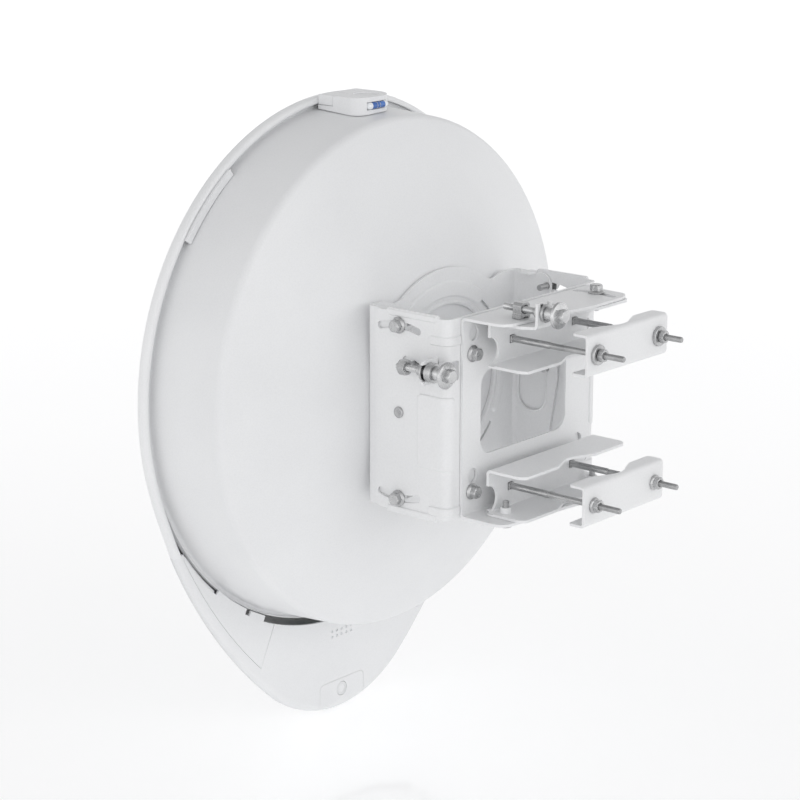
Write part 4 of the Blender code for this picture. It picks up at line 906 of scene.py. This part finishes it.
def polar_pad(r0, r1, a0, a1, height, slope, y0, round_ends=True):
    """A raised band on the base plate, along an arc about the dish axis."""
    rm = (r0 + r1) / 2

    def put(u, v, h):
        a = math.radians(a0) + u / rm
        r = r0 + v
        return (r * math.cos(a), y0 + h, r * math.sin(a))

    length = math.radians(a1 - a0) * rm
    bm = bmesh.new()
    sheet_pad(bm, put, 0.0, length, 0.0, r1 - r0, (r1 - r0) / 2.02 if round_ends else 0.6, height, slope, 0.6 if length < 150 else 0.9)
    return thing("band", bm, POWDER, 0)


base_face = DISH_BASE + SHEET
extras = []
# rolled lip round the big hole, and a broad pressed ring outside it
rows = []
for k in range(13):
    t = k / 12
    rows.append((71.1 + 4.4 * t, base_face - 0.1 + 1.9 * math.sin(math.pi * (0.06 + 0.94 * t)) ** 0.8))
rows = [(71.1, base_face - 0.9)] + rows + [(75.5, base_face - 0.9)]
rings = [[(r * math.cos(2 * math.pi * i / 160), y, r * math.sin(2 * math.pi * i / 160)) for i in range(160)] for r, y in rows]
bm = bmesh.new()
loft(bm, rings, closed=True)
extras.append(thing("lip", bm, POWDER, 0))
for a0, a1 in ((52, 128), (232, 308)):
    extras.append(polar_pad(77.5, 93.2, a0, a1, 1.5, 1.8, base_face))
for a0, a1 in ((-31, 31), (149, 211)):
    extras.append(polar_pad(77.0, 86.5, a0, a1, 2.2, 2.2, base_face))
# lip round each ear pocket
for side in (1, -1):
    inside = side * (EAR_OUT - SHEET)
    outer = rounded([(-163.0, -44.5, 17), (-128.5, -44.5, 17), (-128.5, 31.5, 17), (-163.0, 31.5, 17)], 14)
    inner = rounded([(-160.8, -42.3, 14.8), (-130.7, -42.3, 14.8), (-130.7, 29.3, 14.8), (-160.8, 29.3, 14.8)], 14)
    rings = []
    for k in range(9):
        t = k / 8
        h = 1.3 * math.sin(math.pi * t) - 0.1
        rings.append([(inside - side * h, a[0] + (b[0] - a[0]) * t, a[1] + (b[1] - a[1]) * t) for a, b in zip(outer, inner)])
    rings.append([(inside + side * 0.8, b[0], b[1]) for b in inner])
    rings.append([(inside + side * 0.8, a[0], a[1]) for a in outer])
    bm = bmesh.new()
    loft(bm, rings, closed=True)
    extras.append(thing("pocket_lip", bm, POWDER, 0))
# turned-in lips at the ears' upper and lower corners
for side in (1, -1):
    for s in (1, -1):
        bm = bmesh.new()
        lip = [(side * 103.2, -160), (side * 94.5, -158.0), (side * 94.5, -146.5), (side * 103.2, -141.5)]
        prism(bm, rounded([(*p, 2.0) for p in lip], 5), "Z", *sorted((s * (EAR_Z - SHEET), s * (EAR_Z - 0.05))))
        flap = thing("flap", bm, POWDER)
        soften(flap, 0.35, 2)
        extras.append(flap)
join(dish_bracket, *extras)
place(dish_bracket, "powder_coated_steel", "dish_bracket")

for side, x_name in ((1, "near"), (-1, "far")):
    for s, z_name in ((1, "upper"), (-1, "lower")):
        bm = bmesh.new()
        hex_bolt(bm, "X", (TY, s * 77.0), side * (TILT_OUT + GAP), side, side * 90.0)
        label = "%s_%s" % (z_name, x_name)
        place(thing("elevation_hex_bolt_" + label, bm, ZINC, 28), "zinc_steel", "elevation_lock_bolt_" + label)
    bm = bmesh.new()
    out = side * (TILT_OUT + GAP)
    rows = [(out + side * 1.1, 0.8, "o"), (out + side * 1.15, 2.4, "o"), (out + side * 1.4, 3.6, "o"), (out + side * 1.25, 4.4, "o"), (out + side * 0.8, 4.9, "o"),
            (out, 5.0, "o"), (out - side * 0.01, 4.0, "o"), (side * 98.4, 4.0, "o"), (side * 98.0, 3.6, "o")]
    turned(bm, "X", (TY, TZ), rows, 48)
    place(thing("elevation_rivet_%s" % x_name, bm, ZINC, 30), "zinc_steel", "elevation_pivot_%s" % x_name)

bm = bmesh.new()
xe, ze = EL_SCREW
rows = [(-118.0, 3.9, "o"), (-118.0, 5.7, "o"), (-117.7, 6.2, "h", 6.5), (-117.0, 6.2, "h", 7.1), (-111.0, 6.2, "h", 7.1), (-110.3, 6.2, "h", 6.5), (-110.0, 5.7, "o"), (-110.0, 3.9, "o")]
turned(bm, "Y", EL_SCREW, rows, 60, closed=True)
nut = thing("elevation_trunnion_nut", bm, ZINC, 28)
bm = bmesh.new()
turned(bm, "X", (-114.0, ze), [(102.0, 2.4, "o"), (102.5, 3.0, "o"), (113.6, 3.0, "o"), (113.8, 2.6, "o")], 36)
join(nut, thing("pin", bm, ZINC, 30))
place(nut, "zinc_steel", "elevation_trunnion")
seat_bush("elevation_screw_seat", "elevation_seat_bush", EL_SCREW, EL_TAB_Y - 1.25, EL_TAB_Y + 1.25, -98.0, -80.0, 8.6, 8.6)
adjust_screw("elevation_screw_turned", "elevation_adjust_screw", EL_SCREW, -122.0, -79.7, -69.5)


# =========================================================================
# dish
# =========================================================================
DRUM_Z = -1.0
RIM_Z = -3.0
RIM_R = 253.6
RIM_Y = -300.7
LIP_Y = -292.6
LIP_IN = 5.7
FLANK_R = 515.0
FLANK_C = (-249.57, 74.73)
TIP_R = 136.0
TIP_Z = -210.5
SPLIT = -24.85
CHIN_REAR = -293.5
LATCH = (0.0, -327.6)


def outline(inset, main=240, flank=20, tip=72):
    """Radome outline moved inwards: rim circle, two flank arcs and the chin's tip arc."""
    fx, fz = FLANK_C
    a_flank = math.degrees(math.atan2(RIM_Z - fz, 0 - fx))
    a_tip = math.degrees(math.atan2(TIP_Z - fz, 0 - fx))
    r = FLANK_R - inset
    side = arc(fx, fz, r, a_flank, SPLIT + 0.012, flank) + arc(fx, fz, r, SPLIT - 0.012, a_tip, flank)
    out = arc(0, RIM_Z, RIM_R - inset, a_flank, 180 - a_flank, main)
    left = [(-x, z) for x, z in side]
    bottom = arc(0, TIP_Z, TIP_R - inset, 180 - a_tip - 360, a_tip, tip)
    return out + left[1:] + bottom[1:] + side[::-1][1:-1]


def in_chin(x, z):
    """True for a point beside the chin, below the end of the rim's rear lip."""
    return math.degrees(math.atan2(z - FLANK_C[1], abs(x) - FLANK_C[0])) < SPLIT


def dome_y(d, y, z, edge):
    """Depth of the front dome, a little fuller along the chin than round the rim."""
    w = min(1.0, max(0.0, (-118.0 - z) / 36.0))
    w = w * w * (3 - 2 * w)
    return y + (min(y, edge - 0.85 * min(d, 8.0)) - y) * w


def revolve(bm, profile, zc, n, closed=False):
    rings = []
    for r, y in profile:
        if r <= 0:
            rings.append([(0, y, zc)])
        else:
            rings.append([(r * math.cos(2 * math.pi * i / n), y, zc + r * math.sin(2 * math.pi * i / n)) for i in range(n)])
    return loft(bm, rings, closed)


def smooth_path(points, per=8):
    """A Catmull-Rom curve through the points, with per steps between each pair."""
    out = []
    pts = [points[0]] + list(points) + [points[-1]]
    for i in range(1, len(pts) - 2):
        p0, p1, p2, p3 = (Vector(p) for p in pts[i - 1 : i + 3])
        for k in range(per):
            t = k / per
            out.append(tuple(0.5 * ((2 * p1) + (p2 - p0) * t + (2 * p0 - 5 * p1 + 4 * p2 - p3) * t * t + (3 * p1 - p0 - 3 * p2 + p3) * t ** 3)))
    out.append(tuple(points[-1]))
    return out


# rear housing: flat seat for the bracket, gently domed back, soft crease and drum wall
bm = bmesh.new()
dome = smooth_path([(100.5, -169.85), (125, -177.2), (150, -185.6), (175, -195.4), (200, -205.6), (221, -214.9)], 8)
crease = rounded([(221, -214.9), (236.2, -222.0, 9.0), (238.6, -258.0)], 14)[1:-1]
outer = [(0, -169.8), (99.0, -169.8), (99.8, -169.83)] + dome + crease
outer += [(238.6, -258.0), (239.8, -278.0), (240.9, -296.5), (241.3, -298.4), (242.3, -299.3), (244.6, -299.4), (245.0, -299.0), (245.2, -297.1), (245.45, -296.75), (245.9, -296.75), (246.2, -297.1), (246.4, -301.4)]
inner = [(238.5, -301.4), (236.1, -258.2), (233.7, -229.0), (231.5, -224.8), (227.2, -221.6), (199, -208.6), (149, -188.4), (99, -172.3), (0, -172.3)]
revolve(bm, outer + inner, DRUM_Z, 256)
place(thing("rear_housing_shell", bm, SHELL, 40), "housing_plastic", "rear_housing")

# radome
bm = bmesh.new()
lip = [(0.0, RIM_Y), (0.0, LIP_Y - 4.2), (0.12, LIP_Y - 3.2), (0.45, LIP_Y - 2.2), (1.0, LIP_Y - 1.3), (1.8, LIP_Y - 0.55), (2.7, LIP_Y - 0.12), (3.5, LIP_Y), (4.9, LIP_Y), (5.4, LIP_Y - 0.15), (5.7, LIP_Y - 0.6),
       (5.7, LIP_Y - 2.5), (3.6, LIP_Y - 2.9), (2.6, LIP_Y - 4.4), (2.5, RIM_Y)]
edge = -301.9
plain = [(0.0, edge - 0.6), (0.08, edge - 0.25), (0.25, edge)] + [(0.35 + 0.17 * k, edge) for k in range(9)] + [(2.0, edge), (2.3, edge - 0.1), (2.5, edge - 0.5)]
assert len(plain) == len(lip)
in_dome = [(3.4, -301.2), (5.2, -302.4), (8.6, -304.5), (13.0, -306.9), (21, -310.9), (32.0, -315.5), (50, -322.0), (71.0, -328.3), (98, -334.6), (128.0, -338.9)]
shell = [(128.5, -341.4), (98, -336.9), (70.5, -330.8), (49, -324.6), (31.0, -317.7), (20, -312.9), (11.8, -308.8), (7.0, -306.0), (3.6, -303.7), (1.6, -302.2), (0.7, -301.5), (0.2, -301.0)]
cols = []
for a_row, b_row in zip(lip, plain):
    a, b = outline(a_row[0]), outline(b_row[0])
    cols.append([(q[0], b_row[1], q[1]) if in_chin(*o) else (r[0], a_row[1], r[1]) for o, r, q in zip(outline(0), a, b)])
for d, y in in_dome:
    cols.append([(x, dome_y(d, y, z, -300.6), z) for x, z in outline(d)])
cols.append([(0, -342.5, -20.0)])
back_cols = [[(0, -345.0, -20.0)]]
for d, y in shell:
    back_cols.append([(x, dome_y(d, y, z, -302.7), z) for x, z in outline(d)])
loft(bm, back_cols + cols)
place(thing("radome_shell", bm, RADOME, 46), "radome_plastic", "radome")


def chin_shell(bm, fine=True):
    rings = []
    stack = [(0.3, -301.3), (0.3, -299.0), (0.42, -298.0), (0.75, -297.1), (1.3, -296.2), (2.1, -295.3), (3.2, -294.5), (4.6, -293.9), (6.0, -293.58), (7.4, CHIN_REAR)]
    for d, y in stack:
        rings.append([(x, y, z) for x, z in outline(d, 60, 24, 72)])
    return loft(bm, rings)


def chin_pocket(bm):
    rings = []
    for d, y in ((2.5, -303.0), (2.5, -299.0), (3.4, -297.2), (5.4, -296.2), (7.8, -296.0)):
        rings.append([(x, y, z) for x, z in outline(d, 60, 24, 72)])
    return loft(bm, rings)


def hole_edge(a0, a1, step, grow=0.0):
    """Edge of the chin round the drum between two angles, stepped in and out by the clips and the service gap."""
    bands = ((-90.0, -64.5, 250.8), (-64.5, -59.6, 245.2), (-59.6, -58.1, 250.4), (-58.1, -47.5, 245.2), (-47.5, -31.5, 249.9), (-31.5, -8.0, 248.3))
    pts = []
    for lo, hi, r in bands:
        lo, hi = max(lo, a0), min(hi, a1)
        if hi > lo:
            pts += arc(0, RIM_Z, r - grow, lo, hi, max(2, int((hi - lo) / step)))
    return pts


def hole_outline(step):
    half = hole_edge(-90.0, -8.0, step)
    return half + [(180, 0), (-180, 0)] + [(-x, z) for x, z in half[::-1][:-1]]


def port_outline(grow):
    return rounded([(31.3 + grow, -360), (31.3 + grow, -317 + grow, 5 + grow), (-31.3 - grow, -317 + grow, 5 + grow), (-31.3 - grow, -360)], 12)


def side_panel_outline(side, grow, steps=28, step=1.0):
    """Panel between the drum's circle and the chin's flank."""
    fx, fz = FLANK_C
    pts = []
    for i in range(steps + 1):
        t = i / steps
        phi = math.radians(-44.0 - 0.05 * grow + (18.6 + 0.1 * grow) * t)
        r = FLANK_R - (12.0 - 5.2 * t) + grow
        pts.append((fx + r * math.cos(phi), fz + r * math.sin(phi)))
    a1 = math.degrees(math.atan2(pts[-1][1] - RIM_Z, pts[-1][0])) - 0.25 + 0.3 * grow
    a0 = math.degrees(math.atan2(-235.6 - RIM_Z, 94.0)) - 0.3 * grow
    edge = hole_edge(a0, a1, step)[::-1]
    if grow:
        edge = [edge[0]] + hole_edge(a0, a1, step, 8.0)[::-1] + [edge[-1]]
    return [(side * x, z) for x, z in pts + edge]


bm = bmesh.new()
chin_shell(bm)
chin = thing("chin_rear_moulding", bm, SHELL)
bm = bmesh.new()
chin_pocket(bm)
cut(chin, bm)
bm = bmesh.new()
split = math.tan(math.radians(SPLIT - 0.03))
ridge = FLANK_C[1] - FLANK_C[0] * split
prism(bm, [(0, ridge), (280, ridge + 280 * split), (280, 290), (-280, 290), (-280, ridge + 280 * split)], "Y", -310, -285)
cut(chin, bm)
bm = bmesh.new()
prism(bm, hole_outline(0.8), "Y", -310, -285)
cut(chin, bm)
bm = bmesh.new()
prism(bm, port_outline(0.3), "Y", -310, -285)
cut(chin, bm)
bm = bmesh.new()
for i in range(5):
    for z in (-266.0, -271.5):
        prism(bm, circle(6.7 * (i - 2), z, 1.3, 24), "Y", -300, -290)
cut(chin, bm)
for side in (1, -1):
    bm = bmesh.new()
    prism(bm, side_panel_outline(side, 0.35), "Y", -300, -290)
    cut(chin, bm)
soften(chin, 0.35, 2, 50)
place(chin, "housing_plastic", "chin_rear_cover")

for side, name in ((1, "left"), (-1, "right")):
    bm = bmesh.new()
    prism(bm, side_panel_outline(side, 0.0), "Y", CHIN_REAR - 2.5, CHIN_REAR)
    panel = thing("side_panel_insert_" + name, bm, SHELL)
    soften(panel, 0.35, 2)
    place(panel, "housing_plastic", "chin_side_panel_" + name)

bm = bmesh.new()
chin_shell(bm)
port = thing("port_door", bm, SHELL)
bm = bmesh.new()
chin_pocket(bm)
cut(port, bm)
bm = bmesh.new()
prism(bm, port_outline(0.0), "Y", -310, -285)
cut(port, bm, "INTERSECT")
bm = bmesh.new()
prism(bm, [(x, z) for x, z in circle(*LATCH, 7.1, 72)], "Y", -300, -290)
cut(port, bm)
soften(port, 0.35, 2, 50)
place(port, "housing_plastic", "port_cover")

# latch button: a disc with a shallow dished middle and a grip ring
bm = bmesh.new()
rows = [(-296.6, 6.2, "o"), (-296.4, 6.7, "o"), (-294.2, 6.7, "o"), (-293.75, 6.55, "o"), (-293.5, 6.1, "o"), (-293.5, 5.5, "o"), (-293.7, 5.2, "o"), (-294.3, 5.0, "o"),
        (-294.35, 4.6, "o"), (-294.0, 4.35, "o"), (-293.75, 4.0, "o"), (-293.9, 2.0, "o"), (-293.95, 0.8, "o")]
turned(bm, "Y", LATCH, rows, 72)
place(thing("port_latch_disc", bm, SHELL, 40), "housing_plastic", "port_latch_button")

for side, name in ((1, "left"), (-1, "right")):
    for label, a0, a1, r0, r1, y0, y1 in (("upper", 36, 54, 242.6, 249.4, LIP_Y + GAP, LIP_Y + 3.6), ("lower", -47.1, -34.5, 247.3, 249.6, -299.2, -296.6)):
        pts = arc(0, RIM_Z, r1, a0, a1, 40) + arc(0, RIM_Z, r0, a1, a0, 40)
        bm = bmesh.new()
        prism(bm, [(side * x, z) for x, z in pts], "Y", y0, y1)
        clip = thing("rim_clip_moulded_%s_%s" % (label, name), bm, SHELL)
        soften(clip, 0.7 if label == "upper" else 0.4, 3)
        place(clip, "housing_plastic", "rim_clip_%s_%s" % (label, name))

# level housing, its end block and the spirit vial
TOP = 252.0
plan = [(29.5, LIP_Y + GAP), (29.5, -242, 14), (-22, -242, 24), (-22, LIP_Y + GAP)]
bm = bmesh.new()
prism(bm, rounded(plan, 20), "Z", 228.0, TOP)
level = thing("level_housing_moulding", bm, SHELL)
bm = bmesh.new()
revolve(bm, [(0, -300), (242.0, -300), (237.2, -225), (0, -225)], DRUM_Z, 256)
cut(level, bm)
bm = bmesh.new()
prism(bm, box2(8.0, 32.0, -300, -274.5), "Z", 242.4, TOP + 3)
cut(level, bm)
bm = bmesh.new()
turned(bm, "Z", (-1.0, -262.0), [(TOP - 1.4, 10.4, "o"), (TOP - 1.3, 11.0, "o"), (TOP - 1.0, 11.6, "o"), (TOP - 0.2, 11.9, "o"), (TOP + 3, 12.2, "o")], 96)
cut(level, bm)
bm = bmesh.new()
turned(bm, "X", (-242.6, 244.2), [(-7.5, 3.6, "o"), (19.5, 3.6, "o")], 48)
cut(level, bm)
soften(level, 0.7, 3, 30)
place(level, "housing_plastic", "level_housing")
bm = bmesh.new()
prism(bm, rounded([(29.5, LIP_Y + GAP, 0), (29.5, -274.8, 0.5), (8.3, -274.8, 0), (8.3, LIP_Y + GAP, 0)]), "Z", 242.7, TOP)
block = thing("level_end_moulding", bm, SHELL)
soften(block, 0.5, 2)
place(block, "housing_plastic", "level_end_block")

bm = bmesh.new()
rows = [(-4.2, 1.6, "o"), (-3.9, 2.5, "o"), (-3.2, 2.95, "o"), (-2.4, 3.05, "o"), (14.6, 3.05, "o"), (15.4, 2.95, "o"), (16.1, 2.5, "o"), (16.4, 1.6, "o")]
turned(bm, "X", (-242.6, 244.2), rows, 40)
place(thing("vial_tube", bm, VIAL, 40), "vial", "level_vial")
for name, x0, x1, s in (("near", 19.1, 14.2, -1), ("far", -7.0, -2.2, 1)):
    bm = bmesh.new()
    rows = [(0.0, 1.0, "o"), (0.15, 1.8, "o"), (0.7, 2.6, "o"), (1.5, 3.0, "o"), (2.3, 3.2, "o"), (4.3, 3.2, "o"), (4.7, 3.12, "o"), (4.9, 2.9, "o")]
    turned(bm, "X", (-242.6, 244.2), [(x0 + s * h, r, k) for h, r, k in rows], 40)
    place(thing("vial_end_cap_" + name, bm, CLEAR, 40), "light_pipe", body="dish")
bm = bmesh.new()
for x in (4.4, 8.1):
    turned(bm, "X", (-242.6, 244.2), [(x - 0.22, 3.0, "o"), (x - 0.22, 3.14, "o"), (x + 0.22, 3.14, "o"), (x + 0.22, 3.0, "o")], 40, closed=True)
place(thing("vial_marks", bm, BUTTON, 40), "vial", body="dish")


# =========================================================================
# inside the shells: CAD solids keep their shape and take a finish
# =========================================================================
def finish_node(node, mat):
    obj = frame["nodes"][node]
    obj.data.materials.clear()
    obj.data.materials.append(mat)


for node, mat in (("feed_tube", CAST), ("subreflector", CAST), ("radio_housing", CAST), ("main_board", BOARD), ("ethernet_jack", JACK), ("led_light_pipe", CLEAR), ("reset_button", BUTTON)):
    finish_node(node, mat)
bm = bmesh.new()
radii = [15.0 + (234.0 - 15.0) * k / 28 for k in range(29)]
front = [(r, -215.0 - 84.0 * (r / 234.0) ** 2) for r in radii]
back = [(r, y + 1.8) for r, y in reversed(front)]
revolve(bm, front + back, DRUM_Z, 160, closed=True)
place(thing("reflector_spinning", bm, CAST, 40), "aluminium", "reflector")

# parts on the board, so that it reads as one through the open port bay
bm = bmesh.new()
for x, z, w, h, t in ((-22, -276, 12, 12, 1.2), (4, -278, 9, 14, 1.0), (26, -276, 8, 8, 1.6), (24, -296, 10, 6, 2.0), (-26, -298, 8, 8, 1.8)):
    prism(bm, box2(x - w / 2, x + w / 2, z - h / 2, z + h / 2, 0.5, 2), "Y", -301.2 - t, -301.15)
parts = thing("board_components", bm, DARK)
place(parts, "board", body="dish")


# =========================================================================
# floor, light and camera
# =========================================================================
def floor_material():
    mat, tree, shader = material("studio_floor")
    coord = tree.nodes.new("ShaderNodeTexCoord").outputs["Object"]
    soft = noise(tree, coord, 1.3, 2.0, 0.5)
    tree.links.new(ramp(tree, soft, [(0.3, (0.955, 0.957, 0.960)), (0.7, (0.965, 0.966, 0.968))]), shader.inputs["Base Color"])
    tree.links.new(span(tree, soft, 0.07, 0.09), shader.inputs["Roughness"])
    shader.inputs["Specular IOR Level"].default_value = 0.9
    shader.inputs["Emission Color"].default_value = (1.0, 1.0, 1.0, 1)
    shader.inputs["Emission Strength"].default_value = 0.27
    return mat


low = cad_box[0].z
bm = bmesh.new()
rings = []
for r in (0.0, 1.2, 3.0, 6.0, 9.0, 12.0):
    rings.append([(0.0, 0.0, low - 0.0006)] if r == 0 else [(r * math.cos(2 * math.pi * i / 96), r * math.sin(2 * math.pi * i / 96), low - 0.0006) for i in range(96)])
made = [[bm.verts.new(p) for p in ring] for ring in rings]
for a, b in zip(made, made[1:]):
    for i in range(96):
        j = (i + 1) % 96
        if len(a) == 1:
            bm.faces.new((a[0], b[i], b[j]))
        else:
            bm.faces.new((a[i], b[i], b[j], a[j]))
mesh = bpy.data.meshes.new("studio_floor")
bm.to_mesh(mesh)
bm.free()
floor = bpy.data.objects.new("studio_floor", mesh)
mesh.materials.append(floor_material())
bpy.context.scene.collection.objects.link(floor)

world = bpy.data.worlds.new("studio")
world.use_nodes = True
sky = world.node_tree
background = next(n for n in sky.nodes if n.type == "BACKGROUND")
direction = sky.nodes.new("ShaderNodeTexCoord").outputs["Generated"]
parts_of = sky.nodes.new("ShaderNodeSeparateXYZ")
sky.links.new(direction, parts_of.inputs[0])
height = span(sky, parts_of.outputs["Z"], 0.0, 1.0, 0.0, 1.0)
facing = sky.nodes.new("ShaderNodeVectorMath")
facing.operation = "DOT_PRODUCT"
facing.inputs[1].default_value = (0.74, 0.67, 0.0)
sky.links.new(direction, facing.inputs[0])
lean = span(sky, facing.outputs["Value"], 0.94, 1.36, -1.0, 1.0)
tall = ramp(sky, height, [(0.0, (1.0, 1.0, 1.0)), (0.2, (0.95, 0.95, 0.953)), (0.5, (0.64, 0.64, 0.644)), (1.0, (0.30, 0.30, 0.304))])
blend = sky.nodes.new("ShaderNodeVectorMath")
blend.operation = "SCALE"
sky.links.new(tall, blend.inputs[0])
sky.links.new(lean, blend.inputs["Scale"])
sky.links.new(blend.outputs["Vector"], background.inputs["Color"])
background.inputs["Strength"].default_value = 1.06
bpy.context.scene.world = world


def area_light(name, location, target, size, power):
    light = bpy.data.lights.new(name, "AREA")
    light.shape = "RECTANGLE"
    light.size, light.size_y = size
    light.energy = power
    obj = bpy.data.objects.new(name, light)
    obj.location = location
    obj.rotation_euler = (Vector(target) - Vector(location)).to_track_quat("-Z", "Y").to_euler()
    bpy.context.scene.collection.objects.link(obj)


area_light("key", (-0.5, 3.4, 1.1), (0.0, -0.1, 0.05), (1.4, 1.4), 7.0)

yaw, pitch, roll = math.radians(49.667), math.radians(14.847), math.radians(0.09)
ahead = Vector((-math.sin(yaw), -math.cos(yaw), 0.0))
right = ahead.cross(Vector((0, 0, 1)))
look = ahead * math.cos(pitch) - Vector((0, 0, 1)) * math.sin(pitch)
up = Vector((0, 0, 1)) * math.cos(pitch) + ahead * math.sin(pitch)
c, s = math.cos(roll), math.sin(roll)
r2 = c * right + s * up
u2 = -s * right + c * up
spot = (1.654, 1.18417, 0.54905)
cam = bpy.data.cameras.new("studio_camera")
cam.lens = 109.96
cam.sensor_width = 36.0
cam.clip_end = 100.0
camera = bpy.data.objects.new("studio_camera", cam)
camera.matrix_world = Matrix(((r2.x, u2.x, -look.x, spot[0]), (r2.y, u2.y, -look.y, spot[1]), (r2.z, u2.z, -look.z, spot[2]), (0, 0, 0, 1)))
bpy.context.scene.collection.objects.link(camera)
bpy.context.scene.camera = camera
bpy.context.scene.view_settings.view_transform = "Standard"
